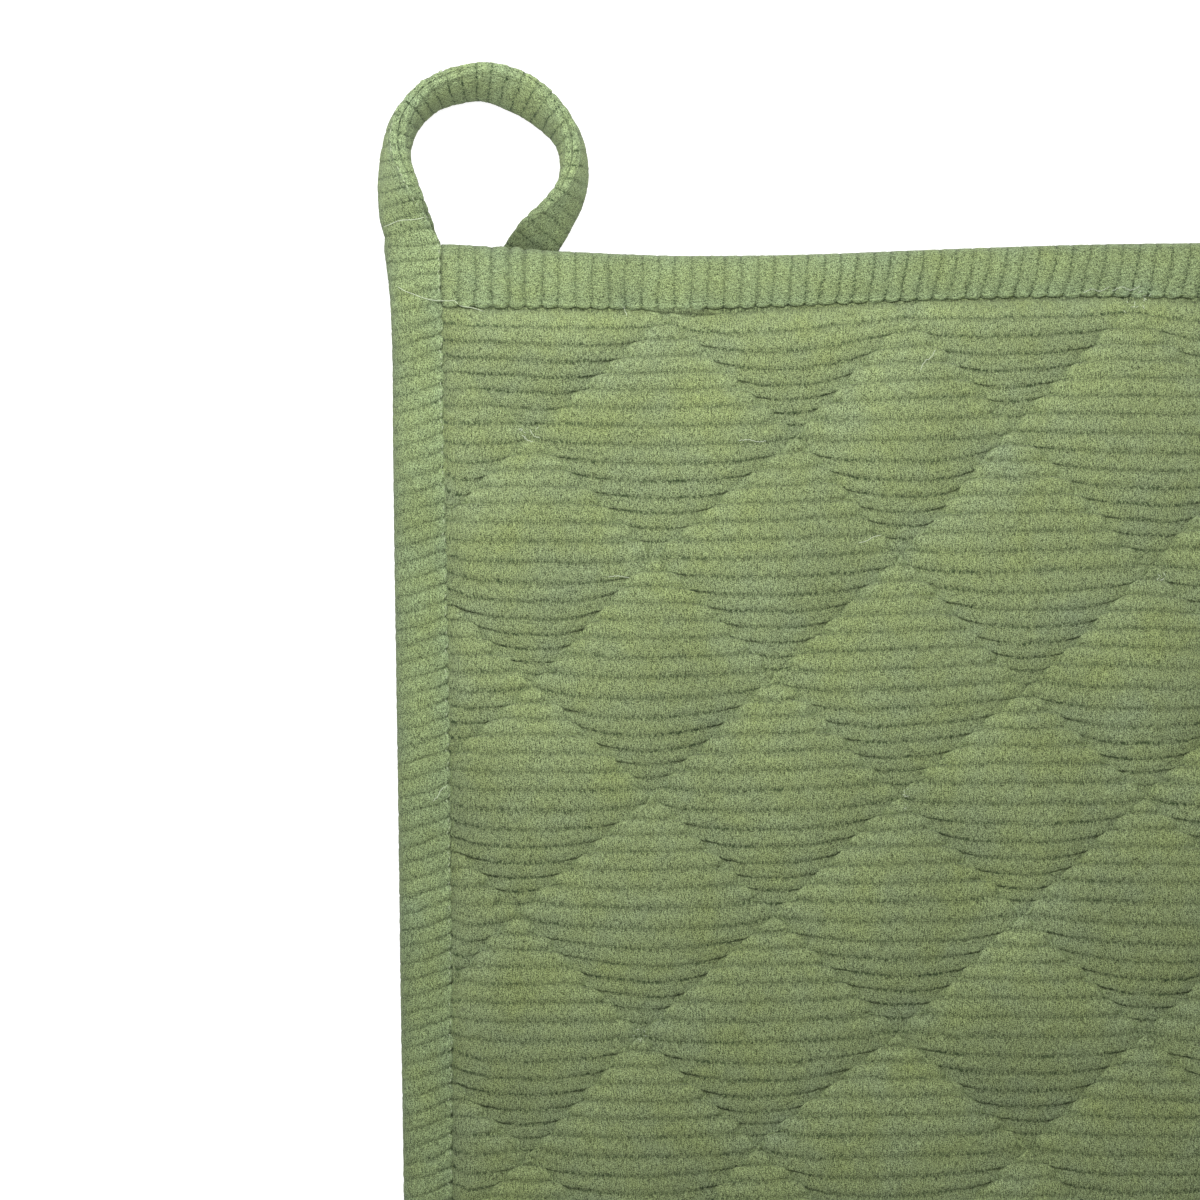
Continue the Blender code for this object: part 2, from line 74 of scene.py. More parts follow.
# Quilted pad
NODE_X, NODE_Y = -0.0130, 0.0052
QUILT_X, QUILT_Y = 0.0470, 0.0458
LINE_SPACING = QUILT_X * QUILT_Y / math.hypot(QUILT_X, QUILT_Y)
DRIFT_REACH = 0.022
PAD_EDGE_LOW, PAD_EDGE_HIGH = 0.0017, 0.0046
EDGE_SWELL = 0.0003             # the face cloth swells up against the binding's lip
PAD_MID = 0.0031                # where face and back meet inside
VALLEY_TOP, CROWN_TOP = 0.0062, 0.0086
VALLEY_BACK = 0.0018
BACK_FLAT_SHARE = 0.5
SEAM_RISE = 0.0060
PAD_RELIEF = 0.00025            # crest over groove, on the pad's face
BACK_RELIEF = 0.00045
WALE_ROUND = 0.00130            # how far from its groove a wale reaches its height
TIP_ROUND, ROOT_ROUND = 0.0006, 0.0024     # a wale's height comes back this far below and above a stitch line
TIP_RELIEF = 0.00036            # a wale's end below a stitch line stands this much higher
TIP_REACH = 0.0032
UPPER_EDGE_POWER, LOWER_EDGE_POWER = 3.2, 1.9
WALE_END = 0.00110              # a wale's end runs this much further over the stitch line than the groove beside it
WALE_STAIR = 0.72               # how nearly the wales' ends make a staircase of the stitch line
WALE_END_REACH = 0.0024
PINCH_REACH = 0.00050           # half the width of the pinched valley along a stitch line

# Sag of the wales between stitch lines
SAG = 0.0021
LOWER_SAG_FLATNESS, UPPER_SAG_FLATNESS = 3.0, 6.0
SEAM_HOLD = 0.0060              # the seams hold the cloth back over this distance

# Folded end of the loop under the top binding, which lifts the corner
LIFT = 0.0025
LIFT_X, LIFT_FLAT_X, LIFT_FADE_X = -0.0850, 0.0090, 0.0300
LIFT_FLAT_Y, LIFT_FADE_Y = 0.0115, 0.0340
LOOP_CLEARANCE = 0.0003
TUCKED_END, TUCKED_REACH = -0.0868, 0.0042      # the top strip is slack over the loop's tucked end
LOOP_LIFT_FADE = 0.022
LOOP_TURN_REACH = 0.006         # the loop leaves the strip's own direction over this distance
TUCK_SHADE, TUCK_SIDE_X = 0.45, -0.0950         # painted shadow on the loop where it goes under the top strip

# How much painted shade the strips' grooves get: along the top one they get darker to the right
SIDE_GROOVE, LOOP_GROOVE = 0.13, 0.30
TOP_GROOVES = ((-0.0650, -0.0200), (0.16, 0.38))

# ---------------------------------------------------------------- tables
# Each side is read clockwise: along runs from -HALF to HALF, out is how far the edge stands outside the square,
# width is the folded strip's, lean is how far a wale's inner end runs ahead.
EdgeRow = namedtuple("EdgeRow", "along out width lean")
LEFT_EDGE = (
    EdgeRow(-0.1100, -0.0026, 0.0092, 0.0000),
    EdgeRow(-0.0960, -0.0025, 0.0092, 0.0022),
    EdgeRow(-0.0720, -0.0023, 0.0092, 0.0028),
    EdgeRow(-0.0340, -0.0017, 0.0097, 0.0026),
    EdgeRow(0.0040, -0.0012, 0.0098, 0.0028),
    EdgeRow(0.0500, -0.0005, 0.0098, 0.0026),
    EdgeRow(0.0730, -0.0002, 0.0096, 0.0026),
    EdgeRow(0.0930, 0.0000, 0.0096, 0.0024),
    EdgeRow(0.1010, 0.0004, 0.0099, 0.0016),
    EdgeRow(0.1100, 0.0015, 0.0109, 0.0004),
)
TOP_EDGE = (
    EdgeRow(-0.1100, 0.0005, 0.0119, 0.0000),
    EdgeRow(-0.1000, 0.0006, 0.0119, 0.0000),
    EdgeRow(-0.0930, 0.0002, 0.0116, 0.0000),
    EdgeRow(-0.0780, -0.0008, 0.0107, 0.0000),
    EdgeRow(-0.0625, -0.0013, 0.0104, 0.0000),
    EdgeRow(-0.0320, -0.0012, 0.0097, -0.0006),
    EdgeRow(-0.0080, -0.0003, 0.0096, -0.0015),
    EdgeRow(0.0265, 0.0008, 0.0100, -0.0019),
    EdgeRow(0.0445, 0.0010, 0.0104, -0.0016),
    EdgeRow(0.0780, 0.0006, 0.0101, -0.0010),
    EdgeRow(0.1100, 0.0002, 0.0098, 0.0000),
)
RIGHT_EDGE = (
    EdgeRow(-0.1100, 0.0003, 0.0102, 0.0000),
    EdgeRow(-0.0700, -0.0003, 0.0096, 0.0014),
    EdgeRow(-0.0100, -0.0009, 0.0094, 0.0020),
    EdgeRow(0.0600, 0.0001, 0.0097, 0.0016),
    EdgeRow(0.1100, 0.0004, 0.0099, 0.0000),
)
BOTTOM_EDGE = (
    EdgeRow(-0.1100, 0.0001, 0.0099, 0.0000),
    EdgeRow(-0.0600, 0.0007, 0.0097, -0.0012),
    EdgeRow(0.0100, -0.0005, 0.0096, -0.0016),
    EdgeRow(0.0700, 0.0003, 0.0099, -0.0008),
    EdgeRow(0.1100, 0.0000, 0.0100, 0.0000),
)
SIDES = {
    "left": (Vector((-1, 0, 0)), LEFT_EDGE),
    "top": (Vector((0, 1, 0)), TOP_EDGE),
    "right": (Vector((1, 0, 0)), RIGHT_EDGE),
    "bottom": (Vector((0, -1, 0)), BOTTOM_EDGE),
}

# Crossings of the stitch lines that lie off the even lattice
DriftRow = namedtuple("DriftRow", "x y right up")
QUILT_DRIFT = (
    DriftRow(-0.0600, 0.0968, 0.0019, -0.0002),
    DriftRow(-0.0130, 0.0968, 0.0015, -0.0006),
    DriftRow(0.0340, 0.0968, -0.0025, 0.0013),
    DriftRow(-0.0365, 0.0739, 0.0035, -0.0002),
    DriftRow(0.0105, 0.0739, -0.0015, 0.0017),
    DriftRow(0.0340, 0.0510, 0.0010, -0.0025),
    DriftRow(-0.0835, 0.0281, 0.0006, -0.0018),
    DriftRow(0.0105, 0.0281, 0.0009, -0.0025),
    DriftRow(-0.0835, -0.0177, -0.0021, 0.0004),
    DriftRow(-0.0600, -0.0405, -0.0018, -0.0002),
    DriftRow(-0.0365, -0.0634, -0.0032, 0.0017),
    DriftRow(0.0105, -0.0634, 0.0011, 0.0011),
)

# Where the quilting is slack, and how much of its depth is lost there
SlackRow = namedtuple("SlackRow", "x y reach lost")
SLACK_ROWS = (
    SlackRow(-0.0915, 0.0830, 0.0130, 0.75),
    SlackRow(-0.0180, 0.0960, 0.0070, 0.35),
    SlackRow(0.0330, 0.0960, 0.0080, 0.35),
)

# How far the wales sag at each height of a diamond, from its bottom corner (-1) to its top one (1)
SagRow = namedtuple("SagRow", "height share")
SAG_ROWS = (
    SagRow(-1.00, 0.00),
    SagRow(-0.80, 0.48),
    SagRow(-0.50, 1.00),
    SagRow(-0.15, 0.90),
    SagRow(0.15, 0.20),
    SagRow(0.50, -0.22),
    SagRow(0.80, -0.20),
    SagRow(1.00, 0.00),
)

# The loop's middle line, clockwise from the left strip's end to its tucked end. tilt is the turn about that line:
# 0 lies flat face up, 90 stands on the folded edge, past 90 the sewn edge leans out.
LoopRow = namedtuple("LoopRow", "x y width thick tilt")
LOOP_PATH = (
    LoopRow(-0.1060, 0.1100, 0.0109, 0.0064, 0),
    LoopRow(-0.1066, 0.1125, 0.0095, 0.0060, 8),
    LoopRow(-0.1075, 0.1155, 0.0094, 0.0057, 24),
    LoopRow(-0.1082, 0.1190, 0.0102, 0.0055, 46),
    LoopRow(-0.1089, 0.1240, 0.0100, 0.0056, 64),
    LoopRow(-0.1090, 0.1286, 0.0096, 0.0056, 82),
    LoopRow(-0.1077, 0.1335, 0.0096, 0.0055, 94),
    LoopRow(-0.1047, 0.1373, 0.0096, 0.0050, 102),
    LoopRow(-0.1005, 0.1400, 0.0096, 0.0045, 110),
    LoopRow(-0.0928, 0.1416, 0.0098, 0.0041, 119),
    LoopRow(-0.0857, 0.1396, 0.0100, 0.0041, 125),
    LoopRow(-0.0803, 0.1359, 0.0098, 0.0045, 115),
    LoopRow(-0.0763, 0.1312, 0.0096, 0.0052, 98),
    LoopRow(-0.0751, 0.1255, 0.0096, 0.0053, 84),
    LoopRow(-0.0760, 0.1203, 0.0098, 0.0047, 70),
    LoopRow(-0.0787, 0.1157, 0.0098, 0.0039, 52),
    LoopRow(-0.0818, 0.1119, 0.0096, 0.0028, 26),
    LoopRow(-0.0843, 0.1082, 0.0096, 0.0020, 6),
    LoopRow(-0.0863, 0.1046, 0.0096, 0.0018, 0),
    LoopRow(-0.0880, 0.1014, 0.0094, 0.0018, 0),
)

# Outline of a folded strip, from its face lip over the fold to the back lip and through the slot, in shares of its
# width (0 at the fold, 1 at the lips) and thickness. open_ is the strip on the pad's edge, shut is the sewn loop.
# pile is 1 on the corduroy outside and 0 in the fold.
SectionRow = namedtuple("SectionRow", "open_across open_up shut_across shut_up pile")
SECTION = (
    SectionRow(0.990, 0.735, 0.986, 0.5025, 0.0),
    SectionRow(1.012, 0.790, 1.000, 0.580, 0.8),
    SectionRow(1.000, 0.830, 0.998, 0.700, 1.0),
    SectionRow(0.960, 0.870, 0.960, 0.790, 1.0),
    SectionRow(0.900, 0.875, 0.890, 0.800, 1.0),
    SectionRow(0.800, 0.935, 0.790, 0.880, 1.0),
    SectionRow(0.600, 0.990, 0.600, 0.970, 1.0),
    SectionRow(0.380, 1.000, 0.380, 1.000, 1.0),
    SectionRow(0.180, 0.955, 0.180, 0.960, 1.0),
    SectionRow(0.065, 0.845, 0.065, 0.845, 1.0),
    SectionRow(0.010, 0.670, 0.010, 0.670, 1.0),
    SectionRow(0.000, 0.480, 0.000, 0.480, 1.0),
    SectionRow(0.022, 0.280, 0.022, 0.280, 1.0),
    SectionRow(0.085, 0.100, 0.085, 0.120, 1.0),
    SectionRow(0.200, 0.015, 0.200, 0.030, 1.0),
    SectionRow(0.400, 0.000, 0.400, 0.000, 1.0),
    SectionRow(0.640, 0.000, 0.640, 0.020, 1.0),
    SectionRow(0.820, 0.015, 0.820, 0.110, 1.0),
    SectionRow(0.900, 0.030, 0.900, 0.200, 1.0),
    SectionRow(0.960, 0.020, 0.960, 0.210, 1.0),
    SectionRow(0.998, 0.080, 0.998, 0.300, 1.0),
    SectionRow(1.005, 0.170, 1.000, 0.420, 0.8),
    SectionRow(0.985, 0.240, 0.986, 0.4950, 0.0),
    SectionRow(0.700, 0.255, 0.700, 0.490, 0.0),
    SectionRow(0.380, 0.300, 0.200, 0.490, 0.0),
    SectionRow(0.354, 0.490, 0.180, 0.499, 0.0),
    SectionRow(0.380, 0.690, 0.200, 0.508, 0.0),
    SectionRow(0.700, 0.720, 0.700, 0.508, 0.0),
)

# Sewing thread, and the loose ends of it that lie on the cloth, in the photograph's pixels
THREAD_RADIUS = 0.00011
QUILT_STITCH, SEAM_STITCH = 0.0030, 0.0026
SEWN_EDGE_STATIONS = slice(600, -110)           # along the loop, where its sewn edge is seen
BURIED_SHARE = 0.45             # of the left seam's stitches, hidden in the pile
LIP_COLUMNS = (5, 34)           # columns round the strip's section in the dimple beside each lip
LINT_RADIUS = 0.000055
LINT_FIBRES = 6
LOOSE_THREADS = (
    ((382, 227), (396, 223), (412, 221), (430, 218)),
    ((398, 287), (415, 296), (442, 302), (453, 301), (461, 306), (484, 312)),
    ((624, 307), (625, 311), (627, 316)),
    ((919, 371), (924, 362), (930, 358), (935, 350)),
    ((433, 801), (438, 796), (441, 790), (447, 786)),
    ((522, 435), (527, 440), (533, 442)),
    ((530, 430), (534, 436), (540, 438)),
    ((738, 441), (748, 440), (758, 442), (766, 441)),
    ((608, 577), (618, 576), (630, 578)),
    ((858, 543), (866, 541), (873, 537), (881, 535)),
    ((1083, 293), (1092, 289), (1100, 291), (1109, 287)),
    ((1112, 291), (1122, 287), (1131, 290), (1140, 286)),
)
LINT_SPOTS = ((528, 434), (905, 795), (1132, 307), (640, 1035), (1146, 300), (1160, 577))

FUZZ_SCALE = 5600.0             # tufts of pile to a metre, about
PAD_SHADED_WALE_SIDE, TOP_SHADED_WALE_SIDE = 0.12, 0.88         # which side of a wale gets painted shade on its rounding: 0 next to the groove ahead

# Mesh fineness: where a wale's rows lie between two grooves, and how far columns stand from a stitch line
WALE_STEPS = (0.0, 0.065, 0.15, 0.30, 0.50, 0.70, 0.85, 0.935)
BACK_WALE_STEPS = (0.0, 0.12, 0.34, 0.66, 0.88)
COLUMN_OFFSETS = (0.0005, 0.0010, 0.0018, 0.0032, 0.0060, 0.0108, 0.0162)
BACK_COLUMN_OFFSETS = (0.0010, 0.0026, 0.0060, 0.0120)
SECTION_STEPS = 52              # points round a folded strip
VALLEY_COLUMNS = 4              # zigzag columns of stitch lines each side of the middle one
NODE_SPREAD = 0.96
TIGHTEST_COLUMN = 0.00004
SETTLE_TURNS = 3


# ---------------------------------------------------------------- curves and fields
def cubic(places, values, at):
    """A smooth curve through the values, read at many places."""
    places = np.asarray(places, float)
    values = np.asarray(values, float)
    at = np.clip(at, places[0], places[-1])
    slopes = np.gradient(values, places)
    i = np.clip(np.searchsorted(places, at) - 1, 0, len(places) - 2)
    span = places[i + 1] - places[i]
    t = (at - places[i]) / span
    start = values[i] * (2 * t**3 - 3 * t**2 + 1) + slopes[i] * span * (t**3 - 2 * t**2 + t)
    end = values[i + 1] * (3 * t**2 - 2 * t**3) + slopes[i + 1] * span * (t**3 - t**2)
    return start + end


def column_of(table, name):
    return [getattr(row, name) for row in table]


def side_value(side, name, along):
    table = SIDES[side][1]
    return cubic(column_of(table, "along"), column_of(table, name), along)


def seam_distance(side, along):
    return HALF + side_value(side, "out", along) - side_value(side, "width", along)


def fade(distance, flat, end):
    """1 up to flat, then down to 0 at end without a kink."""
    t = np.clip((distance - flat) / (end - flat), 0.0, 1.0)
    return 1 - t * t * (3 - 2 * t)


def lift(x, y):
    """How far the corner is lifted by the loop's end under it."""
    beside = fade(np.abs(x - LIFT_X), LIFT_FLAT_X, LIFT_FADE_X)
    below = fade(HALF - y, LIFT_FLAT_Y, LIFT_FADE_Y)
    return LIFT * beside * below


def unevenness(x, y, size, seed, waves=18):
    """A smooth random field about -1 to 1 high, with hills about size apart, the same one each time."""
    rng = np.random.default_rng(seed)
    total = np.zeros(np.broadcast(x, y).shape)
    for _ in range(waves):
        angle = rng.uniform(0, 2 * math.pi)
        length = size * rng.uniform(0.7, 1.6)
        phase = rng.uniform(0, 2 * math.pi)
        total += np.sin(2 * math.pi * (x * math.cos(angle) + y * math.sin(angle)) / length + phase)
    return total / math.sqrt(waves / 2) / 1.6


def drift(x, y):
    """How far the stitch lines run off their even lattice."""
    right = np.zeros(np.shape(x))
    up = np.zeros(np.shape(x))
    for row in QUILT_DRIFT:
        share = np.exp(-((x - row.x) ** 2 + (y - row.y) ** 2) / DRIFT_REACH**2)
        right = right + row.right * share
        up = up + row.up * share
    return right, up


def quilt_place(x, y):
    """The place among the stitch lines: whole numbers of falling and of rising lie on a stitch line."""
    right, up = drift(x, y)
    u = (x - right - NODE_X) / QUILT_X
    v = (y - up - NODE_Y) / QUILT_Y
    return u - v, u + v


def pillow(x, y):
    """Rise of the quilting: 0 on a stitch line, 1 in the middle of a diamond."""
    falling, rising = quilt_place(x, y)
    rise = 1.0
    for across in (falling, -rising):
        past_line = across - np.floor(across)
        off_line = 2 * np.minimum(past_line, 1 - past_line)
        power = np.where(past_line < 0.5, UPPER_EDGE_POWER, LOWER_EDGE_POWER)
        rise = rise * (1 - (1 - off_line) ** power)
    return rise


def line_offsets(x, y):
    """Distance past the nearest line of each of the two slants, positive on the side of the diamond below."""
    falling, rising = quilt_place(x, y)
    return [(across - np.round(across)) * LINE_SPACING for across in (falling, -rising)]


def signed_line_distance(x, y):
    """Distance from the nearest stitch line, positive on the side of the diamond below it."""
    one, other = line_offsets(x, y)
    return np.where(np.abs(one) < np.abs(other), one, other)


def wale_end_shift(x, y, place):
    """How far right the wales' ends bulge over the stitch lines, from the diamond below towards the one above."""
    shift = np.zeros(np.shape(x))
    for offset, side in zip(line_offsets(x, y), (-1, 1)):
        shift = shift + side * np.exp(-((offset / WALE_END_REACH) ** 2))
    own = 1 + 0.45 * unevenness(x, y, 0.0055, 13)
    above_groove = place - np.floor(place)
    stair = np.where(above_groove > 0, above_groove - 0.5, 0.0)
    return shift * own * (WALE_END * (wale_crest(place) - 0.5) + WALE_STAIR * WALE * stair)


def diamond_height(x, y):
    """-1 at a diamond's bottom corner, 1 at its top one."""
    falling, rising = quilt_place(x, y)
    return (rising - np.floor(rising)) - (falling - np.floor(falling))


def side_room(x, y):
    """Distance from the nearer of the left and right seams."""
    return np.minimum(seam_distance("left", y) + x, seam_distance("right", -y) - x)


def seam_room(x, y):
    """Distance from the nearest binding seam, negative under the binding."""
    ends = np.minimum(seam_distance("top", x) - y, seam_distance("bottom", -x) + y)
    return np.minimum(side_room(x, y), ends)


def edge_rise(room):
    """0 at the seam, 1 past SEAM_RISE."""
    t = np.clip(room / SEAM_RISE, 0.0, 1.0)
    return 1 - (1 - t) ** 2


def quilting_depth(x, y):
    """1 where the quilting pulls the cloth down fully, less where it is slack."""
    depth = np.ones(np.shape(x))
    for row in SLACK_ROWS:
        depth = depth - row.lost * np.exp(-((x - row.x) ** 2 + (y - row.y) ** 2) / row.reach**2)
    return depth


def sag(x, y):
    """How far a wale's middle hangs below its ends on the stitch lines, in the plane of the pad."""
    falling, rising = quilt_place(x, y)
    cell_falling = np.floor(falling)
    cell_rising = np.floor(rising)
    a = falling - cell_falling - 0.5
    b = rising - cell_rising - 0.5
    height = b - a
    width = np.maximum(1 - np.abs(height), 1e-3)
    across = np.clip((a + b) / width, -1, 1)
    share = cubic(column_of(SAG_ROWS, "height"), column_of(SAG_ROWS, "share"), height)
    own = 1 + 0.30 * np.sin(12.9898 * cell_falling + 78.233 * cell_rising)
    skew = 0.25 * np.sin(39.425 * cell_falling + 17.17 * cell_rising)
    flatness = np.where(height < 0, LOWER_SAG_FLATNESS, UPPER_SAG_FLATNESS)
    flatness = np.where(np.abs(height) < 0.15, 3.0 + 10.0 * (height + 0.15).clip(0, 0.3), flatness)
    bow = (1 - np.abs(across) ** flatness) * (1 + skew * across)
    hold = 1 - (1 - np.clip(side_room(x, y) / SEAM_HOLD, 0, 1)) ** 2
    return SAG * share * own * bow * hold * quilting_depth(x, y)


def rounded(distance, reach, power):
    """0 at a line, 1 past reach, steep at the line."""
    return 1 - (1 - np.clip(distance / reach, 0, 1)) ** power


# ---------------------------------------------------------------- mesh helpers
def grid_faces(rows, columns, wrap):
    """Corner numbers of the quads of a grid of points. wrap joins the last column to the first."""
    r, c = np.meshgrid(np.arange(rows - 1), np.arange(columns if wrap else columns - 1), indexing="ij")
    following = (c + 1) % columns
    corners = (r * columns + c, r * columns + following, (r + 1) * columns + following, (r + 1) * columns + c)
    return np.stack(corners, axis=-1).reshape(-1, 4)


def make_piece(name, points, faces, cloth_place, marks, material):
    """A mesh object with its place on the cloth as a UV map and its marks for the material as attributes."""
    mesh = bpy.data.meshes.new(name)
    mesh.from_pydata((points + np.array(PAD_MIDDLE)).tolist(), [], faces)
    uv = mesh.uv_layers.new(name="cloth")
    corner = np.zeros(len(mesh.loops), np.int32)
    mesh.loops.foreach_get("vertex_index", corner)
    uv.data.foreach_set("uv", cloth_place[corner].astype(np.float32).ravel())
    for mark, values in marks.items():
        attribute = mesh.attributes.new(mark, "FLOAT", "POINT")
        attribute.data.foreach_set("value", values.astype(np.float32).ravel())
    mesh.materials.append(material)
    mesh.polygons.foreach_set("use_smooth", np.ones(len(mesh.polygons), bool))
    mesh.update()
    piece = bpy.data.objects.new(name, mesh)
    bpy.context.scene.collection.objects.link(piece)
    return piece


def face_outwards(piece):
    bm = bmesh.new()
    bm.from_mesh(piece.data)
    bmesh.ops.recalc_face_normals(bm, faces=bm.faces)
    bm.to_mesh(piece.data)
    bm.free()


# ---------------------------------------------------------------- quilted pad
def valley_column(number, y):
    """x where one zigzag column of stitch lines crosses the height y."""
    middle = NODE_X + QUILT_X / 4 + number * QUILT_X / 2
    side = -1 if number % 2 else 1
    x = np.full(np.shape(y), middle)
    for _ in range(SETTLE_TURNS):
        right, up = drift(x, y)
        turn = (y - up - NODE_Y) / QUILT_Y
        swing = 4 * np.abs(turn - np.round(turn)) - 1
        x = middle + side * swing * NODE_SPREAD * QUILT_X / 4 + right
    return x


def pad_columns(y, offsets):
    """x of every column of the pad at the heights y, one row of y for each row of points."""
    count = 2 * len(offsets) + 2
    limits = 2 * VALLEY_COLUMNS + 2
    columns = []
    for interval in range(limits):
        block = y[:, interval * count:(interval + 1) * count]
        if interval == 0:
            low = -seam_distance("left", block)
        else:
            low = valley_column(interval - 1 - VALLEY_COLUMNS, block)
        if interval == limits - 1:
            high = seam_distance("right", -block)
        else:
            high = valley_column(interval - VALLEY_COLUMNS, block)
        wide = high - low
        for step in range(count):
            from_low = step if step <= count / 2 else count - step
            if from_low == 0:
                off = np.zeros(len(y))
            elif from_low == count // 2:
                off = wide[:, step] / 2
            else:
                off = np.minimum(offsets[from_low - 1], wide[:, step] * from_low / count)
            columns.append(low[:, step] + off if step <= count / 2 else high[:, step] - off)
    last = y[:, -1]
    columns.append(seam_distance("right", -last))
    x = np.stack(columns, axis=1)
    spread = TIGHTEST_COLUMN * np.arange(x.shape[1])
    x = np.maximum.accumulate(x - spread, axis=1)
    x = np.minimum(x, (seam_distance("right", -last) - spread[-1])[:, None])
    return x + spread


def pad_layout(steps, offsets):
    """Rows and columns of one side of the pad: wale place, x and y of each point before the wales sag."""
    wales = round((seam_distance("top", 0.0) + seam_distance("bottom", 0.0)) / WALE)
    place = np.array([wale + step for wale in range(wales) for step in steps] + [wales])
    overhang = np.zeros(len(place))
    reach = BINDING_SLOT - STRIP_END_GAP
    place = np.concatenate([[0.0, 0.0], place, [wales, wales]])
    overhang = np.concatenate([[-reach, -reach / 2], overhang, [reach / 2, reach]])
    share = (place / wales)[:, None]
    count = (2 * VALLEY_COLUMNS + 2) * (2 * len(offsets) + 2) + 1
    y = (share - 0.5) * 2 * seam_distance("top", 0.0) + np.zeros(count)
    for _ in range(SETTLE_TURNS):
        x = pad_columns(y, offsets)
        low = -seam_distance("bottom", -x)
        high = seam_distance("top", x)
        y = low + share * (high - low) + overhang[:, None]
    x = np.concatenate([x[:, :1] - reach, x[:, :1] - reach / 2, x, x[:, -1:] + reach / 2, x[:, -1:] + reach], axis=1)
    y = np.concatenate([y[:, :1], y[:, :1], y, y[:, -1:], y[:, -1:]], axis=1)
    return np.broadcast_to(place[:, None], x.shape), x, y


def wale_crest(place):
    """0 in a groove, 1 on a wale's crest."""
    return rounded(np.abs(place - np.round(place)) * WALE, WALE_ROUND, 2.2)


def wale_relief(place, x, y):
    """0 in a groove or on a stitch line, 1 on a wale's crest."""
    wander = 0.08 * unevenness(x, y, 0.009, 3)
    distance = signed_line_distance(x, y)
    depth = quilting_depth(x, y)
    tip = rounded(distance, TIP_ROUND, 2.0) * (1 + depth * TIP_RELIEF / PAD_RELIEF * np.exp(-distance / TIP_REACH))
    root = rounded(-distance, ROOT_ROUND, 1.6)
    along = np.where(distance > 0, tip, root) * depth + (1 - depth)
    return wale_crest(place) * (1 + wander) * along


def pad_marks(x, y):
    """Painted groove and crease shade, nap greyness with painted sheen, and painted light and shade by stitch lines and
    seams.
    """
    height = diamond_height(x, y)
    distance = signed_line_distance(x, y)
    depth = quilting_depth(x, y)
    near_line = np.exp(-((distance / 0.0052) ** 2)) * depth
    above = 1 / (1 + np.exp(distance / 0.0003))
    lower = np.clip(0.5 - 1.2 * height, 0, 1)
    near_seam = np.exp(-((side_room(x, y) / 0.0013) ** 2))
    patches = unevenness(x, y, 0.014, 41)
    # Painted shade in the grooves: more in a diamond's lower half, which faces away from the light, by the stitch lines
    # and by the seams, with random patches
    groove = 0.18 + 0.20 * lower + 0.22 * near_line * (above + 0.15) + 0.12 * patches + 0.32 * near_seam
    # Greyer nap: random patches, and painted sheen in a diamond's lower half and by the stitch lines
    grey = 0.42 + 0.18 * lower + 0.12 * near_line + 0.22 * unevenness(x, y, 0.022, 43)
    edge = np.exp(-((distance / 0.0028) ** 2)) * depth
    return {
        "painted_groove_shade": np.clip(groove, 0.05, 1.2),
        "nap_grey_and_painted_sheen": np.clip(grey, 0, 1),
        # Painted light on a diamond's upper edge, painted shade on its lower edge and by the seams, and random
        # brightness
        "tone_and_painted_shading": 1 + edge * (0.08 - 0.14 * above) - 0.10 * near_seam + 0.05 * unevenness(x, y, 0.030, 47),
        # Painted shade in the valley where the quilting stitches pull the cloth in
        "painted_crease_shade": np.exp(-(((distance + PINCH_REACH / 2) / PINCH_REACH) ** 2)) * depth,
        "shaded_wale_side": np.full(np.shape(x), PAD_SHADED_WALE_SIDE),
    }


def close_pad(piece, height):
    """Closes one half of the pad with a plane inside it."""
    bm = bmesh.new()
    bm.from_mesh(piece.data)
    rim = [edge for edge in bm.edges if edge.is_boundary]
    made = bmesh.ops.extrude_edge_only(bm, edges=rim)["geom"]
    for vert in made:
        if isinstance(vert, bmesh.types.BMVert):
            x, y = vert.co.x - PAD_MIDDLE.x, vert.co.y - PAD_MIDDLE.y
            vert.co.z = height + float(lift(x, y))
    rim = [edge for edge in bm.edges if edge.is_boundary]
    bmesh.ops.contextual_create(bm, geom=rim)
    bmesh.ops.recalc_face_normals(bm, faces=bm.faces)
    bm.to_mesh(piece.data)
    bm.free()


def build_pad_face(material):
    place, x, y = pad_layout(WALE_STEPS, COLUMN_OFFSETS)
    grain = np.random.default_rng(5).normal(0, 1, x.shape)
    marks = pad_marks(x, y)
    rise = pillow(x, y)
    share = edge_rise(seam_room(x, y))
    relief = wale_relief(place, x, y)
    puff = 1 + 0.10 * unevenness(x, y, 0.045, 11)
    rise = 1 - (1 - rise) * quilting_depth(x, y)
    full = VALLEY_TOP + (CROWN_TOP - VALLEY_TOP) * rise * puff - PAD_RELIEF / 2
    full = full + PAD_RELIEF * relief + 0.00003 * grain
    swell = EDGE_SWELL * fade(-seam_room(x, y), 0.0, 0.0010) * (0.6 + 0.4 * unevenness(x, y, 0.006, 17))
    edge = PAD_EDGE_HIGH + swell
    z = edge + (full - edge) * share + lift(x, y)
    hang = sag(x, y)
    x = x + wale_end_shift(x, y, place) * share * quilting_depth(x, y)
    y = y - hang + 0.00012 * unevenness(x, y, 0.010, 7)
    points = np.stack([x, y, z], axis=-1).reshape(-1, 3)
    cloth_place = np.stack([x / WALE, place], axis=-1).reshape(-1, 2)
    faces = grid_faces(x.shape[0], x.shape[1], False).tolist()
    piece = make_piece("pad_face", points, faces, cloth_place, marks, material)
    close_pad(piece, PAD_MID + 0.00005)
    return piece, points.reshape(*x.shape, 3)


